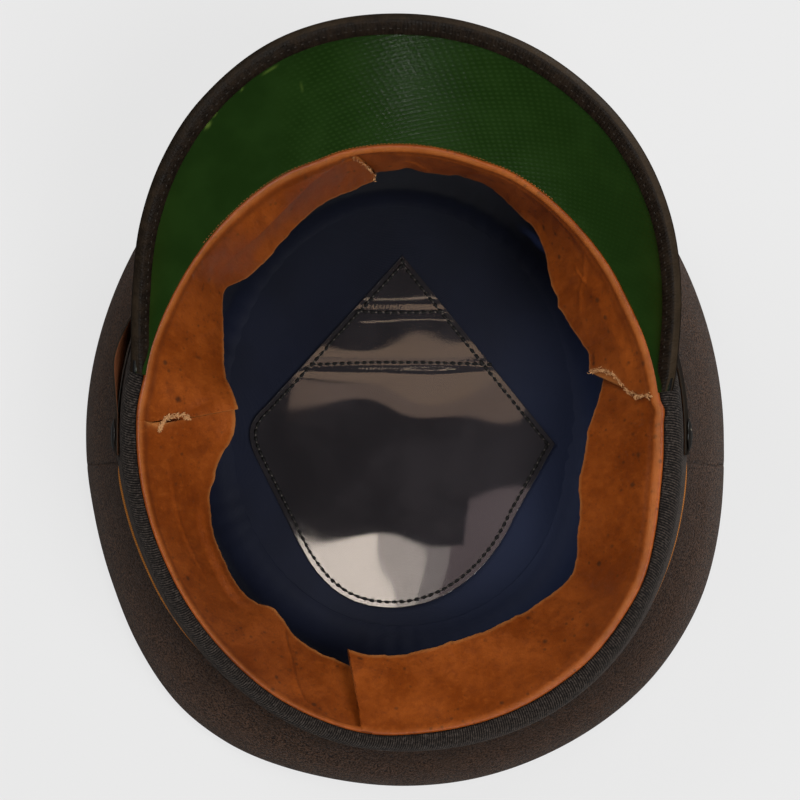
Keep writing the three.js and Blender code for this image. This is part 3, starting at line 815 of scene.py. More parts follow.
# Peak binding: a strip folded over the peak's edge, so its section is a long U. Its points are measured
# outwards from the edge along the slope, and up from the underside.
binding = {
    "width": {"at": [9.5, 50, 90, 125, 150, 167], "wide": [5.4, 5.5, 5.2, 5.4, 5.0, 4.6]},
    "mostOfPeak": 0.85, "clear": 0.3, "wall": 0.9, "bend": 1.2, "endWidth": 0.35, "taper": 4, "steps": 520,
    "bulge": 0.35, "flatRows": 12, "bendRows": 15, "fold": 0.5, "unevenness": 0.12,
    "stitchFromEdge": 2.2, "firstStitch": 9, "stitchPitch": 2.5, "stitch": (0.45, 0.26, 0.2),
}


def bindingFrame(degrees):
    edge = peakSurface(degrees, 1.0)
    outward = unit(edge - peakSurface(degrees, 0.98))
    along = peakSurface(degrees + 0.05, 1.0) - peakSurface(degrees - 0.05, 1.0)
    slant = np.linalg.norm(edge - peakSurface(degrees, 0.0), axis=-1)
    width = np.minimum(smoothTable(binding["width"], "wide", degrees), binding["mostOfPeak"] * slant)
    return edge, outward, unit(np.cross(outward, along)), along, width


def makeBinding(material, thread):
    degrees = np.linspace(peak["right"], peak["left"], binding["steps"])
    edge, outward, up, along, width = bindingFrame(degrees)
    clear, board, count, bendRows = binding["clear"], peak["wall"], binding["flatRows"], binding["bendRows"]
    top, low = clear + binding["wall"], -board - clear - binding["wall"]
    turn = np.radians(np.linspace(90, -90, bendRows))
    runs = np.linspace(1, 0, count)[:-1]
    flatUp = top + binding["bulge"] * np.sin(math.pi * runs) ** 0.8 - binding["fold"] * (runs > 0.999)
    bendUp = (top + low) / 2 + (top - low) / 2 * np.sin(turn)
    under = -board - clear
    inside = np.array([[-1, 0, under], [0, clear, under], [0, clear, clear], [-1, 0, clear]])
    section = np.concatenate([  # share of the width, millimetres outwards, millimetres up
        place(-runs, 0, flatUp),
        place(0, binding["bend"] * np.cos(turn), bendUp),
        place(-runs[::-1], 0, low - 0.1 * np.sin(math.pi * runs[::-1])),
        inside,
    ])
    full = smoothStep(np.minimum(degrees - degrees[0], degrees[-1] - degrees), 0, binding["taper"])[:, None]
    full = binding["endWidth"] + (1 - binding["endWidth"]) * full
    across = section[None, :, 0] * width[:, None] * full + section[None, :, 1] * full
    uneven = binding["unevenness"] * wander(degrees * 9, 41)[:, None] * (np.arange(len(section)) < count - 1)
    grid = edge[:, None] + outward[:, None] * across[..., None]
    grid += up[:, None] * (section[None, :, 2] + uneven)[..., None]
    worn, pleat = np.zeros(grid.shape[:2]), np.zeros(grid.shape[:2])
    lit = smoothStep(-degrees, -130, -40)[:, None]  # paler to the right: painted light
    worn[:, count + 3:count + 9] = 0.1 + 0.25 * lit + 0.15 * wander(degrees * 4, 5)[:, None]  # on the bend: painted light on its roll, with some rub
    worn[:, 0] = 0.1 + 0.2 * lit[:, 0]  # on the inner edge, also paler to the right as painted light
    pleat[:, 1:count] = 0.35 + 0.4 * lit
    pleat[:, count:count + 3] = 0.25
    quads, quadMap = gridQuads(grid, False, True)
    ends = capQuads(grid.shape[1], grid.shape[0])
    quads, quadMap = np.concatenate([quads, ends]), np.concatenate([quadMap, np.zeros((len(ends), 4, 2))])
    paint = {"worn": np.clip(worn, 0, 1), "raw": worn * 0, "pleat": pleat}
    piece = putMesh("peakBinding", grid.reshape(-1, 3), quads, quadMap, material, paint=paint)
    wear(piece, "dark_leather", "peak_binding")
    arc, margin = arcOf(edge), binding["firstStitch"]
    spots = np.interp(np.arange(margin, arc[-1] - margin, binding["stitchPitch"]), arc, degrees)
    edge, outward, up, along, width = bindingFrame(spots)
    inset = np.minimum(binding["stitchFromEdge"], width * 0.6)[:, None]
    middles = edge - outward * inset + up * (top + binding["bulge"] * 0.9)
    wear(stitchPiece("bindingStitches", middles, along, up, binding["stitch"], thread), "dark_leather")
    return piece


# Sweatband: four lengths of leather. "lean" is how far in the free edge stands from the rim's oval, "start"
# and "end" are where a length begins and stops at each share of its height, "under" how far it is pushed
# aside where the next length lies over it, and "ragged" how torn its two ends are. Of the pairs, "edgeRub"
# is where a step begins and ends, and those from "groove" to "darkPatch" are a bell's middle and width.
sweatband = {
    "height": 46, "lift": 1.6, "wall": 0.9, "thin": 0.5, "rows": 60, "perDegree": 2.8, "behind": 2.0,
    "turnRadius": 0.8, "turnRows": 7, "fall": 0.03, "degreeLong": 1.6, "tornReach": 0.45,
    "edgeWaves": (0.35, 0.25), "softWaves": (0.45, 0.25, 0.10), "edgeRub": (0.972, 0.99),
    "groove": (0.065, 0.024), "grooveShade": (0.075, 0.03), "rimHighlight": (0.012, 0.022), "backSide": (272, 45),
    "darkPatch": (228, 20),
    "rim": {
        "at": [0, 20, 45, 70, 90, 110, 135, 160, 180, 190, 210, 240, 256, 261, 270, 300, 330, 345, 360, 380],
        "rise": [1.2, 1.3, 2.0, 2.7, 2.9, 2.7, 2.2, 1.4, 1.0, 0.9, 0.8, 0.8, 0.8, 0.9, 0.9, 1.0, 1.1, 1.1,
                 1.2, 1.3],
        "shoulder": [2.6, 2.4, 2.2, 2.4, 2.6, 2.0, 1.6, 1.3, 1.2, 1.1, 0.9, 0.8, 0.8, 1.1, 1.1, 1.5, 2.2,
                     2.6, 2.6, 2.4],
        "groove": [0.35, 0.3, 0.35, 0.4, 0.4, 0.2, 0.1, 0.1, 0.1, 0.05, 0, 0, 0, 0, 0, 0.05, 0.2, 0.3, 0.35,
                   0.3],
        "curl": [1.0, 1.1, 1.3, 1.3, 1.2, 1.2, 1.2, 1.1, 1.2, 1.3, 1.4, 1.4, 1.3, 1.25, 1.2, 1.2, 1.15, 1.1,
                 1.0, 1.1],
    },
    "edge": {
        "at": [0, 3.5, 6, 8, 12, 19, 28, 36, 48, 60, 66, 72, 84, 102, 108, 117, 132, 150, 162, 168, 174, 180,
               190, 204, 212, 222, 240, 252, 264, 276, 290, 306, 314, 324, 333, 342, 350, 360, 380],
        "outer": [0.3, 0.5, 1.1, 0.1, 0.1, -0.2, -0.9, -0.5, -0.2, 0.6, 0.7, 0.2, 0.6, 0.9, 0.4, 0.9, 0.3,
                  -0.2, 0.3, 0.0, 0.6, 0.3, -0.1, -0.25, 0.0, 0.2, 0.5, 0.3, 0.4, -0.3, -0.6, -0.4, 0.3, 0.8,
                  1.6, 0.8, 0.2, 0.3, -0.2],
    },
    "fold": {
        "at": [95, 101, 104, 108, 114.5, 122, 128.5, 137.5, 142],
        "plan": [0.05, 0.05, 0.10, 0.25, 0.48, 0.57, 0.60, 0.57, 0.55],
        "drop": [0.05, 0.05, 0.08, 0.15, 0.28, 0.38, 0.42, 0.50, 0.55],
        "strength": [0, 0.6, 1, 1, 1, 1, 0.9, 0.3, 0],
    },
    "lengths": {
        "sweatbandFrontRight": {
            "node": "sweatband_front_right", "seed": 30, "ragged": (0.35, 0.1),
            "start": {"at": [0, 0.22, 0.38, 0.56, 0.75, 1], "angle": [9.2, 9.3, 11, 15.3, 17, 17.2]},
            "end": {"at": [0, 1], "angle": [102, 102]},
            "edge": {
                "at": [8, 16, 22, 25, 28, 36, 41, 45, 49, 55, 60, 65, 71, 74, 80, 85, 88, 91, 94, 101],
                "lean": [20, 18, 15.6, 16.6, 17.5, 17.9, 17.7, 15.1, 11.2, 7.5, 6.3, 4.3, 3.1, 2.8, 4.6, 4.6,
                         3.5, 4.2, 5, 6],
            },
            "under": {"at": [8, 90, 97, 102], "push": [0, 0, 0.9, 1.2]},
        },
        "sweatbandFrontLeft": {
            "node": "sweatband_front_left", "seed": 40, "ragged": (0.5, 0.12),
            "start": {"at": [0, 0.1, 0.3, 0.53, 0.8, 1], "angle": [101, 99.6, 98.3, 97.4, 96.0, 96.3]},
            "end": {"at": [0, 0.34, 0.41, 0.65, 0.9, 1], "angle": [176, 176, 175.4, 173.4, 171.4, 171]},
            "edge": {
                "at": [96, 103, 109, 115, 124, 130, 137, 143, 146, 154, 162, 166, 170, 176],
                "lean": [7.3, 9.7, 10.3, 12.3, 15, 16, 15.4, 11.9, 13.4, 19.9, 24, 27.8, 30.6, 31],
            },
            "under": {"at": [96, 176], "push": [0, 0]},
        },
        "sweatbandBackLeft": {
            "node": "sweatband_back_left", "seed": 50, "ragged": (0.25, 0.1),
            "start": {"at": [0, 0.22, 0.3, 0.55, 0.9, 1], "angle": [175.3, 177, 176.2, 174.2, 171.4, 170.9]},
            "end": {"at": [0, 1], "angle": [264, 259]},
            "edge": {
                "at": [171, 174, 180, 184, 190, 201, 210, 219, 224, 229, 233, 238, 243, 248, 254, 264],
                "lean": [30.7, 30.8, 29, 25.2, 22, 15, 13.5, 12.5, 14.5, 18.7, 18.5, 17.1, 16.8, 16.4, 17.5,
                         18.5],
            },
            "under": {"at": [170, 172, 176, 250, 257, 264], "push": [0.5, 0.4, 0, 0, 1.3, 1.4]},
        },
        "sweatbandBackRight": {
            "node": "sweatband_back_right", "seed": 60, "ragged": (0.12, 0.1),
            "start": {"at": [0, 0.58, 1], "angle": [261.5, 258.5, 254.0]},
            "end": {"at": [0, 1], "angle": [378, 378]},
            "edge": {
                "at": [254, 259, 270, 280, 290, 306, 315, 321, 327, 333, 339, 349, 357, 365, 373, 378],
                "lean": [22.5, 22.4, 23.4, 25.3, 25.8, 23.7, 21, 18.6, 17.2, 20.4, 22, 24.6, 23.5, 21.5,
                         17.2, 14.1],
            },
            "under": {"at": [254, 362, 370, 378], "push": [0, 0, 1.1, 1.2]},
        },
    },
}

# Creases: each runs through the points (at, drop), an angle and a share of the height. "high" lifts a ridge
# towards the head, "wide" is its half width, and "step" tilts the leather below it outwards.
creases = rowsOf(
    "at drop high wide step reach",
    ([180, 193, 202.5, 214], [0.36, 0.47, 0.57, 0.62], 0.5, 0.8, 0.3, 5),  # left crease
    ([234, 240.5, 245, 248], [1.0, 0.67, 0.33, 0.15], 1.0, 1.2, -0.8, 7),  # back left fold
    ([30, 36.5, 40, 43], [0.80, 0.5, 0.28, 0.12], 0.7, 1.0, 0.3, 6),  # right front fold
    ([35.5, 38, 42], [0.36, 0.42, 0.5], 0.5, 0.7, 0, 4),  # right front branch
    ([71, 73, 75], [0.1, 0.4, 0.75], 0.5, 0.8, 0.5, 4),  # front pucker
    ([83, 86, 90], [0.95, 0.6, 0.45], 0.4, 0.8, 0.3, 4),  # front fold
    ([166, 170, 173], [0.95, 0.7, 0.5], 0.6, 1.6, 0, 4),  # left seam fold
    ([150, 153, 156], [0.95, 0.75, 0.5], 0.5, 1.2, 0, 4),  # left pucker
    ([318, 321, 324], [1.0, 0.75, 0.45], -0.5, 2.2, 0, 4),  # back right wave
)

# Dents: soft-edged patches pushed in towards the head by "inward", between two angles and two shares of the
# height. "soft" and "fade" are half the width of their edges along and down.
dents = rowsOf(
    "angles soft drops fade inward",
    ((14, 37), (5, 1.4), (0.25, 1.1), (0.12, 0.1), 1.6),  # right front bulge
    ((41, 58), (1.4, 5), (0.2, 0.92), (0.12, 0.1), -1.3),  # right front hollow
    ((197, 223), (4, 3), (0.86, 1.2), (0.05, 0.1), 1.8),  # left curled edge
    ((100.5, 103), (0.8, 0.8), (0.0, 0.09), (0.04, 0.04), -0.9),  # flap notch
    ((176, 186), (3, 3), (0.88, 1.2), (0.05, 0.1), 0.8),  # left edge lip
)

# Marks: dark cuts and stains on one length each, as a soft oval.
marks = rowsOf(
    "on angle b long wide strength",
    ("sweatbandFrontRight", 74.5, 0.86, 0.45, 4.5, 0.8),  # front cut
    ("sweatbandFrontRight", 20, 0.9, 2.2, 1.2, 0.5),  # corner stain
    ("sweatbandFrontLeft", 166.4, 0.40, 1.1, 1.2, 0.8),  # left stain
    ("sweatbandFrontLeft", 158, 0.62, 0.5, 2.2, 0.55),  # left streak
    ("sweatbandFrontLeft", 143, 0.45, 0.9, 0.8, 0.5),  # fold stain
    ("sweatbandFrontLeft", 99.6, 0.5, 0.5, 2.0, 0.7),  # flap cut
    ("sweatbandBackRight", 257.5, 0.93, 1.1, 0.35, 0.8),  # lap cut
)


# Offset towards the head from all creases: near each one a bell-shaped ridge, and beyond it a step that dies
# away. Distances are in millimetres on the strip, along it and down.
def creaseOffset(degrees, b):
    scale = np.array([sweatband["degreeLong"], sweatband["height"]])
    x, y = np.broadcast_arrays(degrees * scale[0], b * scale[1])
    total = np.zeros(x.shape)
    for crease in creases:
        points = np.stack([crease["at"], crease["drop"]], 1) * scale
        best, side, share = np.full(x.shape, 1e9), np.zeros(x.shape), np.zeros(x.shape)
        for k, (p, q) in enumerate(zip(points[:-1], points[1:])):
            length = np.linalg.norm(q - p)
            e = (q - p) / length
            t = np.clip((x - p[0]) * e[0] + (y - p[1]) * e[1], 0, length)
            dx, dy = x - p[0] - t * e[0], y - p[1] - t * e[1]
            gap = np.hypot(dx, dy)
            nearer = gap < best
            best = np.where(nearer, gap, best)
            side = np.where(nearer, np.sign(dy * abs(e[0]) - dx * np.sign(e[1]) * abs(e[1])), side)
            share = np.where(nearer, (k + t / length) / (len(points) - 1), share)
        ends = np.clip(np.minimum(share, 1 - share) * 4, 0, 1)
        below = (side > 0) * smoothStep(best, 0, crease["wide"] * 1.5)
        step = crease["step"] * below * np.exp(-best / crease["reach"])
        total += (crease["high"] * bell(best, 0, crease["wide"]) + step) * ends
    return total


def dentOffset(degrees, b):
    total = 0
    for dent in dents:
        window = dent["inward"]
        for x, reach, edge in ((degrees, "angles", "soft"), (b, "drops", "fade")):
            (low, high), (first, last) = dent[reach], dent[edge]
            window = window * smoothStep(x, low - first, low + first)
            window = window * (1 - smoothStep(x, high - last, high + last))
        total = total + window
    return total


def leatherEdge(degrees):
    return smoothTable(sweatband["edge"], "outer", np.asarray(degrees) % 360)


# Section of the leather at an angle: how far in it stands from the rim's oval, and how high, at a share b of
# its height. From the rim a shoulder runs in and dies away exponentially; the rest of the way to the free
# edge is b to the power curl, or at the fold a broken line. Creases, dents and soft waves come on top.
def leatherSection(length, degrees, b):
    outer, radius, seed = leatherEdge(degrees), sweatband["turnRadius"], length["seed"]
    rim, fold = sweatband["rim"], sweatband["fold"]
    columns = ("rise", "shoulder", "groove", "curl")
    rise, shoulder, groove, curl = (smoothTable(rim, column, degrees) for column in columns)
    plan, drop, strength = (smoothTable(fold, k, degrees) for k in ("plan", "drop", "strength"))
    lean = smoothTable(length["edge"], "lean", degrees)
    lower = np.clip((b - drop) / (1 - drop), 0, 1)
    broken = np.where(b < drop, plan * b / drop, plan + (1 - plan) * lower ** 1.5)
    share = (1 - strength) * b ** curl + strength * broken
    slow, quick = sweatband["edgeWaves"]
    edgeNoise = slow * wander(degrees * 6, seed) + quick * wander(degrees * 17, seed + 1)
    rest = np.maximum(lean + outer - radius - shoulder, 0.3) + edgeNoise * smoothStep(b, 0.6, 1)
    inward = radius - outer + shoulder * (1 - np.exp(-b / sweatband["fall"])) + rest * share
    inward = inward - groove * bell(b, *sweatband["groove"])
    belly, (wide, low, fine) = np.sin(math.pi * b), sweatband["softWaves"]
    soft = wide * wander(degrees * 2, seed + 2) * belly + low * wander(degrees * 5, seed + 3) * b
    soft = soft + fine * wander(degrees * 13, seed + 4) * belly
    under = smoothTable(length["under"], "push", degrees)
    offset = creaseOffset(degrees, b) + dentOffset(degrees, b) + soft - under
    inward = inward + offset * smoothStep(b, 0.02, 0.12)
    whole = np.sqrt(sweatband["height"] ** 2 - lean ** 2) - sweatband["lift"]
    return inward, rise - (rise + whole) * b


# One length of the sweatband: from behind the rim a quarter turn over it, and then the section down to the
# free edge. It has a painted highlight along the rim, is worn pale at the free edge and the torn ends, and
# has painted shade in the groove.
def makeSweatband(name, length, material):
    radius, turnRows = sweatband["turnRadius"], sweatband["turnRows"]
    turn = np.linspace(0, math.pi / 2, turnRows)
    down = np.linspace(0, 1, sweatband["rows"])[1:] ** 1.2
    b = np.concatenate([np.zeros(turnRows + 1), down])[None, :]
    count = int(sweatband["perDegree"] * (length["end"]["angle"][0] - length["start"]["angle"][0]))
    random = np.random.default_rng(length["seed"])
    ends = []
    for key, size in zip(("start", "end"), length["ragged"]):
        ragged = np.convolve(random.uniform(-1, 1, b.shape[1]) * size, [0.2, 0.6, 0.2], "same")
        ends.append(smoothTable(length[key], "angle", b) + ragged * (b[0] > 0.02))
    degrees = ends[0] + (ends[1] - ends[0]) * np.linspace(0, 1, count)[:, None]
    inward, height = leatherSection(length, degrees, b)
    inward[:, 1:turnRows + 1] -= radius * np.cos(turn)
    height[:, 1:turnRows + 1] -= radius * (1 - np.sin(turn))
    inward[:, 0] = inward[:, 1]
    height[:, 0] = height[:, 1] - sweatband["behind"]
    u, v = ovalPoint(rimOval, degrees, -inward)
    face = place(u, v, height)
    back, reach = bell(degrees, *sweatband["backSide"]), sweatband["tornReach"]
    # painted highlight along the rim's roll, weaker at the back; the free edge is worn pale
    rimHighlightAndEdgeRub = (0.35 - 0.25 * back) * bell(b, *sweatband["rimHighlight"]) * (b > 0)
    rimHighlightAndEdgeRub = rimHighlightAndEdgeRub + 0.95 * smoothStep(b, *sweatband["edgeRub"])
    torn = sum(np.exp(-np.abs(degrees - e) / reach) * (r > 0.2) for e, r in zip(ends, length["ragged"]))
    worn = (rimHighlightAndEdgeRub + 0.7 * torn * (b > 0.05)) * (0.85 + 0.3 * wander(degrees * 9, length["seed"] + 5))
    # painted shade in the groove under the rim's shoulder, weaker at the back, and a dark patch at the back
    # left
    dark = (0.45 - 0.4 * back) * bell(b, *sweatband["grooveShade"]) + 0.28 * bell(degrees, *sweatband["darkPatch"])
    mark = spotsOn(face, degrees[:, -1], b[0], [row for row in marks if row["on"] == name])
    paint = {"worn": np.clip(worn, 0, 1), "dark": np.clip(dark, 0, 1), "mark": mark}
    wall = sweatband["thin"] + (sweatband["wall"] - sweatband["thin"]) * smoothStep(b, 0, 0.15)
    piece = wallPiece(name, face, -wall, material, paint=paint, backStep=2)
    return wear(piece, "tan_leather", length["node"])


# Stitches that hold the leather to the peak, just outside the leather's edge.
rimSeam = {
    "right": 55, "left": 138, "pitch": 1.2, "out": 0.12, "lift": 0.04, "stitch": (0.36, 0.14, 0.12),
    "turned": 0.35, "shifted": 0.08,
}


def makeRimStitches(thread):
    fine = np.linspace(rimSeam["right"], rimSeam["left"], 2000)
    share = (leatherEdge(fine) + rimSeam["out"] - peak["seamGrow"]) / peakReach(fine)
    middles, ahead = spacedAlong(peakSurface(fine, np.clip(share, 0, 0.9)), rimSeam["pitch"])
    draw = np.random.default_rng(77).uniform(-1, 1, middles.shape)
    up = np.broadcast_to([0, 0, 1.0], middles.shape)
    middles = middles + up * rimSeam["lift"] + rimSeam["shifted"] * draw
    ahead = ahead + rimSeam["turned"] * draw
    piece = stitchPiece("rimStitches", middles, ahead, up, rimSeam["stitch"], thread)
    return wear(piece, "tan_leather")


# Lining: a side wall that falls from the rim to a flat panel on the crown.
lining = {
    "wall": 0.8, "start": 4, "off": 1.0, "clear": 2.5, "steps": 480, "rows": 30, "turnRows": 16,
    "gathers": 64, "gather": 0.5, "slack": 1.2, "turnIn": 13.0, "turnFrom": 0.84,
    # painted light: spots on the side wall painted brighter blue where it catches light
    "litSpots": rowsOf(
        "angle b long wide strength",
        (49, 0.72, 9, 5, 1),  # upper crescent
        (39, 0.72, 6, 5, 1),  # lower crescent
        (308, 0.62, 11, 4, 1),  # right foot
        (222, 0.62, 12, 3.5, 1),  # left foot
        (163, 0.5, 5, 5, 1),  # left wall
    ),
    "swell": 0.35, "ripple": 0.25, "pressed": ((10.5, 0.10), (-13, 0.07), (-39, 0.06)),
}


def liningSurface(degrees, b):
    u, v = ovalPoint(ovalBetween(rimOval, liningOval, b), degrees, lining["off"])
    foot = capDepth + v * math.tan(capTilt) - lining["clear"]
    return place(u, v, -(lining["start"] + (foot - lining["start"]) * b))


# The side wall has soft upright gathers, deepest at its foot, and turns in by a quarter circle at the panel.
def makeLiningSide(material):
    degrees = np.arange(lining["steps"])[:, None] * 360 / lining["steps"]
    bend = np.sin(np.linspace(0, math.pi / 2, lining["turnRows"]))
    start = lining["turnFrom"]
    b = np.concatenate([np.linspace(0, start, lining["rows"])[:-1], start + (1 - start) * bend])[None, :]
    face = liningSurface(degrees, b)
    phase = np.radians(degrees) * lining["gathers"] + 1.5 * wander(degrees, 21)
    gather = np.sin(phase) * wander(degrees, 22)
    slack = smoothStep(b, 0.3, 0.8) * (1 - smoothStep(b, 0.85, 0.95)) * (1 + 0.5 * wander(degrees, 23))
    inward = lining["gather"] * gather * b ** 2 + lining["slack"] * slack
    face -= gridNormal(face, True) * inward[..., None]
    turn = np.clip((b - start) / (1 - start), 0, 1)
    length = np.hypot(face[..., 0], face[..., 1])
    face[..., :2] *= (1 - lining["turnIn"] * (1 - np.sqrt(1 - turn ** 2)) / length)[..., None]
    face[..., 2] += (lining["wall"] - 0.2) * turn ** 2
    # painted light on the side wall's lit spots
    paint = {"litSpots": spotsOn(face, degrees[:, 0], b[0], lining["litSpots"])}
    wall = lining["wall"] * (1 - 0.9 * smoothStep(b, 0.94, 1))
    piece = wallPiece("liningSide", face, wall, material, closedAlong=True, paint=paint, backStep=2)
    return wear(piece, "lining", "lining_side")


# The panel is nearly level: low wide swells, a shallow dip round its border and faint pressed creases.
def makeLiningTop(material):
    shares = np.concatenate([np.linspace(0.04, 0.94, 46), np.linspace(0.95, 1, 8)])[:, None]
    u, v = (x * shares for x in ovalPoint(liningOval, np.arange(360)[None, :], -0.4))
    flat = lining["clear"] - (capDepth + v * math.tan(capTilt))
    swell = lining["swell"] * np.sin(u / 17 + 1) * np.sin(v / 23) + lining["ripple"] * np.sin(u / 9 - v / 14)
    crease = sum(high * bell(v, at, 0.7) for at, high in lining["pressed"])
    high = place(u, v, flat + lining["wall"] + (0.15 + swell + crease) * smoothStep(1 - shares, 0.02, 0.4))
    low = place(u, v, flat)
    rings = np.concatenate([low[::20], low[-1:], high[::-1]])
    middles = np.array([[0, 0, lining["clear"] - capDepth + x] for x in (0, lining["wall"] + 0.4)])
    return wear(platePiece("liningTop", rings, middles, material), "lining", "lining_top")


# Sweat shield: a clear diamond with a round foot. Each row ends a stretch of its outline, with the two
# handles of the curve that leads there, or none where it is straight. It lies level, as the row frame does.
shield = {
    "top": (1, 67), "thick": 0.6, "lift": 4.1, "rings": 40,
    "outline": rowsOf(
        "end handles",
        ((-49, 11), None),  # left side
        ((-53, -7), ((-56, 5), (-56, 0))),  # left corner
        ((-39, -35), None),  # left foot
        ((-3, -63), ((-31, -52), (-22, -63))),  # foot
        ((41.5, -30), ((16, -63), (32.5, -50))),  # right foot
        ((56.5, -3), None),  # right corner
        ((1, 67), None),  # right side
    ),
    # the glint dots are painted highlights: pale dots between the stitches for the black thread's glints
    "stitchInset": 2.2, "pitch": 2.7, "stitch": (0.85, 0.62, 0.4), "glintDot": (0.36, 0.26, 0.34), "cord": 0.26,
    "rows": rowsOf(
        "level from to sag",
        (46, -15.5, 16.5, 0.4),  # upper row
        (26.3, -32, 33, -0.8),  # lower row
    ),
    "pulledDown": 0.05, "pulledWide": 1.6,
}


# Stretches are cubic curves: the sum of (1-t)^3, 3t(1-t)^2, 3t^2(1-t) and t^3 times start, handles and end.
def shieldOutline():
    points, start = [], np.array(shield["top"], float)
    for row in shield["outline"]:
        end = np.array(row["end"], float)
        first, second = row["handles"] or (start + (end - start) / 3, start + (end - start) * 2 / 3)
        t = np.linspace(0, 1, max(6, int(np.linalg.norm(end - start) / 2)), endpoint=False)[:, None]
        curve = (1 - t) ** 3 * start + 3 * t * (1 - t) ** 2 * np.array(first)
        points.append(curve + 3 * t * t * (1 - t) * np.array(second) + t ** 3 * end)
        start = end
    return np.concatenate(points)


# From the shield's level plane into the cap's frame.
def fromShieldPlane(x, y, z):
    point = place(x, y + capDepth * math.sin(capTilt), z - rimMiddle[2] / millimetre)
    return point @ capAxes.T


# Height of the film over the panel: low waves, and a soft step down at each stitched row.
def filmHeight(x, y):
    wave = 0.025 * np.sin(x / 9 + 0.4) * np.cos(y / 12) + 0.02 * np.sin(y / 7 + x / 16)
    wave = wave + 0.012 * np.sin(x / 5.5 - y / 9)
    for row in shield["rows"]:
        wave = wave - shield["pulledDown"] * bell(y, row["level"], shield["pulledWide"])
    return shield["lift"] + wave


def onFilm(points, z):
    x, y = points[..., 0], points[..., 1]
    return fromShieldPlane(x, y, filmHeight(x, y) + z)


def makeShield(film, thread, glintDot):
    outline = shieldOutline()
    shares = np.concatenate([np.linspace(0.03, 0.97, shield["rings"]), [0.985, 0.995, 1.0]])[:, None, None]
    low, high = (onFilm(outline * shares, z) for z in (0, shield["thick"]))
    middles = np.stack([onFilm(np.zeros(2), z) for z in (0, shield["thick"])])
    piece = platePiece("sweatShield", np.concatenate([low, high[::-1]]), middles, film)
    wear(piece, "clear_shield", "sweat_shield")
    ahead = np.roll(outline, -1, 0) - np.roll(outline, 1, 0)
    inward = unit(np.stack([ahead[:, 1], -ahead[:, 0]], 1))
    inward *= -np.sign((inward * outline).sum())
    lines, t = [rollOn(outline + inward * shield["stitchInset"], 0)], np.linspace(0, 1, 60)
    for row in shield["rows"]:
        across = row["from"] + (row["to"] - row["from"]) * t
        lines.append(np.stack([across, row["level"] - row["sag"] * np.sin(math.pi * t)], 1))
    paths = [onFilm(spacedAlong(line, 1)[0], shield["thick"]) for line in lines]
    wear(tubePiece("shieldSeams", paths, shield["cord"], thread, sides=6), "dark_leather")
    runs = [spacedAlong(line, shield["pitch"] / 2) for line in lines]
    # pale dots between the stitches: painted highlights for the thread's glints
    kinds = (("shieldStitches", 0, "stitch", thread), ("shieldGlintDots", 1, "glintDot", glintDot))
    for name, first, size, material in kinds:
        spots, steps = (np.concatenate([run[k][first::2] for run in runs]) for k in (0, 1))
        middles = onFilm(spots, shield["thick"] + shield["cord"] * 0.9)
        ahead = place(steps[:, 0], steps[:, 1], 0) @ capAxes.T
        up = np.broadcast_to(capAxes[:, 2], ahead.shape)
        wear(stitchPiece(name, middles, ahead, up, shield[size], material), "dark_leather")
    return piece


# Chin strap: lies on the band above the peak. The columns are how far its two edges stand off the band.
strap = {
    "stand": {
        "at": [-2.6, 2, 9, 16, 23, 30, 142, 150, 157, 165, 171, 176, 182.6],
        "rimEdge": [0.4, 0.4, 0.5, 0.5, 0.4, 0.4, 0.4, 1.3, 3.2, 4.8, 2.5, 0.9, 0.9],
        "crownEdge": [0.4, 0.4, 0.4, 0.4, 0.4, 0.4, 0.4, 0.5, 0.6, 0.7, 0.5, 0.3, 0.3],
    },
    "drop": 4.2, "width": 13.5, "wall": 0.7, "steps": 420, "rows": 14,
}


def strapSurface(degrees, b):
    rimEdge, crownEdge = (smoothTable(strap["stand"], k, degrees) for k in ("rimEdge", "crownEdge"))
    onBand = bandSurface(degrees, (strap["drop"] + strap["width"] * b) / bandHeight)
    stand = (rimEdge + (crownEdge - rimEdge) * b + strap["wall"]) / np.hypot(onBand[..., 0], onBand[..., 1])
    return onBand + onBand * place(stand, stand, 0)


def makeStrap(material):
    degrees = np.linspace(strap["stand"]["at"][0], strap["stand"]["at"][-1], strap["steps"])[:, None]
    b = np.linspace(0, 1, strap["rows"])[None, :]
    worn = 0.1 * bell(b, 0, 0.08) + 0.2 * bell(b, 1, 0.08)
    face, paint = strapSurface(degrees, b), {"worn": worn, "pleat": worn * 0}
    piece = wallPiece("chinStrap", face, strap["wall"], material, paint=paint)
    back = np.zeros(len(piece.data.vertices), np.float32)
    piece.data.attributes["back"].data.foreach_get("value", back)
    piece.data.attributes.new("raw", "FLOAT", "POINT").data.foreach_set("value", back)
    return wear(piece, "dark_leather", "chin_strap")


# Strap buttons: a flange and a low dome turned about the strap's normal.
button = {
    "stand": 0.3, "angle": 1, "sides": 64,
    "profile": {"radius": [0.1, 5.2, 5.6, 5.6, 5.2, 4.7, 4.45, 4.1, 3.3, 2.2, 1.0, 0.1],
                "height": [0, 0, 0.1, 0.3, 0.45, 0.45, 0.62, 0.82, 1.02, 1.14, 1.2, 1.21]},
}


def makeButton(name, node, degrees, material):
    around = np.linspace(degrees - 0.05, degrees + 0.05, 3)[:, None]
    patch = strapSurface(around, np.array([[0.49, 0.5, 0.51]]))
    out = gridNormal(patch)[1, 1]
    middle = patch[1, 1] + out * button["stand"]
    side = unit(np.cross(out, [0, 0, 1.0]))
    turn = (np.arange(button["sides"]) * 2 * math.pi / button["sides"])[:, None]
    ring = np.cos(turn) * side + np.sin(turn) * np.cross(out, side)
    radius, height = (np.array(button["profile"][k])[:, None, None] for k in ("radius", "height"))
    middles = np.stack([middle, middle + out * button["profile"]["height"][-1]])
    return wear(platePiece(name, middle + ring * radius + out * height, middles, material), "button", node)


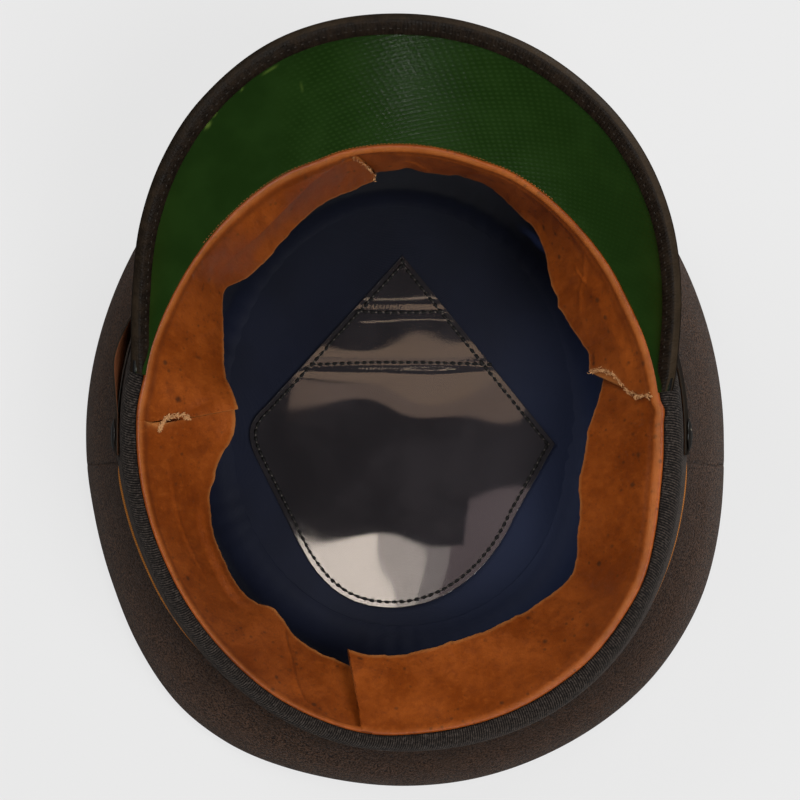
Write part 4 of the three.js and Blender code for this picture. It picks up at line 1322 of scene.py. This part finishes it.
# Frayed fibres: short curved threads along a line on the sweatband, scattered by a seeded draw. "spread" is
# how far they stray, "long" their usual length.
frayShape = {"radius": 0.13, "shortest": 0.3, "longest": 1.2, "bend": 0.35}
frays = {
    "leftSeamFray": {
        "length": "sweatbandBackLeft", "count": 240, "long": 2.2, "spread": 0.34, "off": 0.6, "seed": 5,
        "at": [177.8, 176.6, 175.2, 174.6, 174.2, 174.8], "drop": [0.22, 0.24, 0.28, 0.36, 0.47, 0.52],
    },
    "rightSeamFray": {
        "length": "sweatbandFrontRight", "count": 260, "long": 1.6, "spread": 0.35, "off": 0.5, "seed": 6,
        "at": [17.2, 17, 15.3, 11, 9.3, 9.2], "drop": [0.97, 0.75, 0.56, 0.38, 0.22, 0.02],
    },
    "flapFray": {
        "length": "sweatbandFrontLeft", "count": 60, "long": 1.1, "spread": 0.3, "off": 0.3, "seed": 7,
        "at": [100.4, 98.4, 97.3, 96.1, 96.3], "drop": [0.06, 0.3, 0.53, 0.8, 1.0],
    },
}


def makeFrays(name, material):
    fray = frays[name]
    count, draw = fray["count"], np.random.default_rng(fray["seed"])
    t = np.sort(draw.uniform(0, 1, count))
    stops = np.linspace(0, 1, len(fray["at"]))
    degrees, drop = np.interp(t, stops, fray["at"]), np.interp(t, stops, fray["drop"])
    inward, height = leatherSection(sweatband["lengths"][fray["length"]], degrees, drop)
    u, v = ovalPoint(rimOval, degrees, -inward - fray["off"])
    line = place(u, v, height)
    base = line + draw.normal(0, fray["spread"], line.shape) * [1, 1, 0.5]
    heading = unit(draw.normal(0, 0.6, (count, 3)) + unit(np.gradient(line, t, axis=0)))
    bend = draw.normal(0, 0.5, (count, 3))
    long = fray["long"] * draw.uniform(frayShape["shortest"], frayShape["longest"], (count, 1, 1))
    s = np.linspace(-0.5, 0.5, 6)[None, :, None] * long
    paths = base[:, None] + heading[:, None] * s + bend[:, None] * s ** 2 * frayShape["bend"]
    return wear(tubePiece(name, paths, frayShape["radius"], material, sides=5), "tan_leather")


# Build

wool, ribbed, tan, sateen = makeWool(), makeRibbed(), makeTanLeather(), makeSateen()
bindingLeather = makeDarkLeather("binding leather", (0.02, 0.012, 0.008))
strapLeather = makeDarkLeather("strap leather", (0.210, 0.072, 0.030))
blackThread = makeThread("black thread", (0.005, 0.0045, 0.004))
glintThread = makeThread("glint dot thread", (0.14, 0.125, 0.11))
# pale thread for the shield's glint dots, which are painted highlights
brownThread = makeThread("brown thread", (0.024, 0.017, 0.011))
tanThread = makeThread("tan thread", (0.36, 0.115, 0.022))
fibre, metal = makeFray(), makeButtonMetal()
print("materials made")

right, left = crown["sideSeams"]
makeCrownSide("crownFrontSide", "crown_side_front", right, left, wool)
makeCrownSide("crownBackSide", "crown_side_back", left, right + 360, wool)
makeCrownTop(wool)
makeBand(ribbed)
makePiping(makePipingCloth())
print("crown and band made")

makePeak(makePeakBoard())
makeBinding(bindingLeather, brownThread)
makeStrap(strapLeather)
makeButton("strapButtonRight", "strap_button_right", button["angle"], metal)
makeButton("strapButtonLeft", "strap_button_left", 180 - button["angle"], metal)
print("peak and strap made")

for name, length in sweatband["lengths"].items():
    makeSweatband(name, length, tan)
makeRimStitches(tanThread)
for name in frays:
    makeFrays(name, fibre)
makeLiningSide(sateen)
makeLiningTop(sateen)
makeShield(makeFilm(), blackThread, glintThread)
print("leather, lining and shield made")


# Camera, floor and lights. The camera looks straight into the opening, square to the rim. Lamps stand round
# the cap at an azimuth and a height angle and aim at its middle; panels hang above it, face down, and show
# in the film.
studio = {
    "away": 1.0, "aimTowardsPeak": 0.0137, "viewWidth": 0.268, "sensor": 36,
    "floorSize": 6, "floorDrop": 0.0003, "floorColor": (0.10, 0.10, 0.10, 1), "floorGlow": 0.71,
    "worldStrength": 0.07, "lampTarget": (0, 0, 0.05), "panelHeight": 1.5,
    "lamps": rowsOf(
        "name azimuth lift size power away",
        ("keyBox", 45, 16, (0.8, 0.7), 10.5, 1.3),
        ("backBox", 225, 42, (0.6, 0.6), 2.0, 1.3),
        ("overBox", 315, 62, (0.6, 0.6), 12.5, 1.3),
        ("leftBox", 142, 50, (0.6, 0.6), 6.5, 1.3),
        ("backStrip", 269, 13, (0.02, 0.3), 0.5, 1.6),
        ("backPatch", 262, 13, (0.2, 0.3), 0.12, 1.6),
    ),
    "panels": rowsOf(
        "name at size power color turn",
        ("brightPanel", (-0.061, 0.079), (0.098, 0.058), 0.38, (1, 0.87, 0.76), 0),
        ("brightFade", (0, 0.079), (0.024, 0.058), 0.046, (1, 0.87, 0.78), 0),
        ("faintFade", (0.024, 0.079), (0.024, 0.058), 0.022, (1, 0.86, 0.80), 0),
        ("lowerPanel", (0.083, 0.079), (0.094, 0.058), 0.038, (1, 0.75, 0.75), 0),
        ("sidePanel", (0.092, 0.130), (0.080, 0.044), 0.024, (1, 0.75, 0.75), 0),
        ("upperPanel", (0, 0.264), (0.20, 0.038), 0.085, (1, 0.67, 0.45), -3),
        ("middlePanel", (0.004, 0.235), (0.195, 0.022), 0.036, (1, 0.68, 0.5), 0),
        ("thinPanel", (0.004, 0.315), (0.083, 0.006), 0.009, (1, 0.75, 0.55), 0),
    ),
}


def makeCamera():
    data = bpy.data.cameras.new("camera")
    data.sensor_width = studio["sensor"]
    data.lens = studio["sensor"] * studio["away"] / studio["viewWidth"]
    spot = rimMiddle + capAxes[1] * studio["aimTowardsPeak"] + capAxes[2] * studio["away"]
    camera = bpy.context.scene.camera = addObject("camera", data)
    camera.matrix_world = Matrix.Translation(spot.tolist()) @ Matrix(capAxes.tolist()).transposed().to_4x4()


def makeFloor():
    mesh = bpy.data.meshes.new("floor")
    half, low = studio["floorSize"] / 2, -studio["floorDrop"]
    corners = [(-half, -half, low), (half, -half, low), (half, half, low), (-half, half, low)]
    mesh.from_pydata(corners, [], [(0, 1, 2, 3)])
    mesh.materials.append(newMaterial("pale floor", color=studio["floorColor"], roughness=0.9, specular=0.1))
    shaderSocket("Emission Color").default_value = (1, 1, 1, 1)
    shaderSocket("Emission Strength").default_value = studio["floorGlow"]
    floor = addObject("floor", mesh)
    floor.visible_diffuse = floor.visible_glossy = False


def addLamp(row, spot, back, side):
    light = bpy.data.lights.new(row["name"], "AREA")
    light.shape, light.size, light.size_y = "RECTANGLE", *row["size"]
    light.energy, light.color = row["power"], row.get("color", (1, 1, 1))
    side = unit(side)
    turn = Matrix(np.stack([side, np.cross(back, side), back], 1).tolist()).to_4x4()
    lamp = addObject(row["name"], light)
    lamp.matrix_world = Matrix.Translation([float(x) for x in spot]) @ turn
    lamp.visible_camera = False


def makeLamps():
    for row in studio["lamps"]:
        around, lift = math.radians(row["azimuth"]), math.radians(row["lift"])
        level = math.cos(lift)
        back = np.array([math.cos(around) * level, math.sin(around) * level, math.sin(lift)])
        addLamp(row, studio["lampTarget"] + back * row["away"], back, np.cross([0, 0, 1], back))
    for row in studio["panels"]:
        turn = math.radians(row["turn"])
        spot = (*row["at"], studio["panelHeight"])
        addLamp(row, spot, np.array([0.0, 0, 1]), np.array([math.cos(turn), math.sin(turn), 0]))


def makeWorld():
    world = bpy.context.scene.world = bpy.data.worlds.new("studio")
    world.use_nodes = True
    sky = world.node_tree.nodes["Background"].inputs
    sky["Color"].default_value = (1, 1, 1, 1)
    sky["Strength"].default_value = studio["worldStrength"]


makeCamera()
makeFloor()
makeLamps()
makeWorld()
bpy.context.scene.view_settings.view_transform = "Standard"
print("studio made")
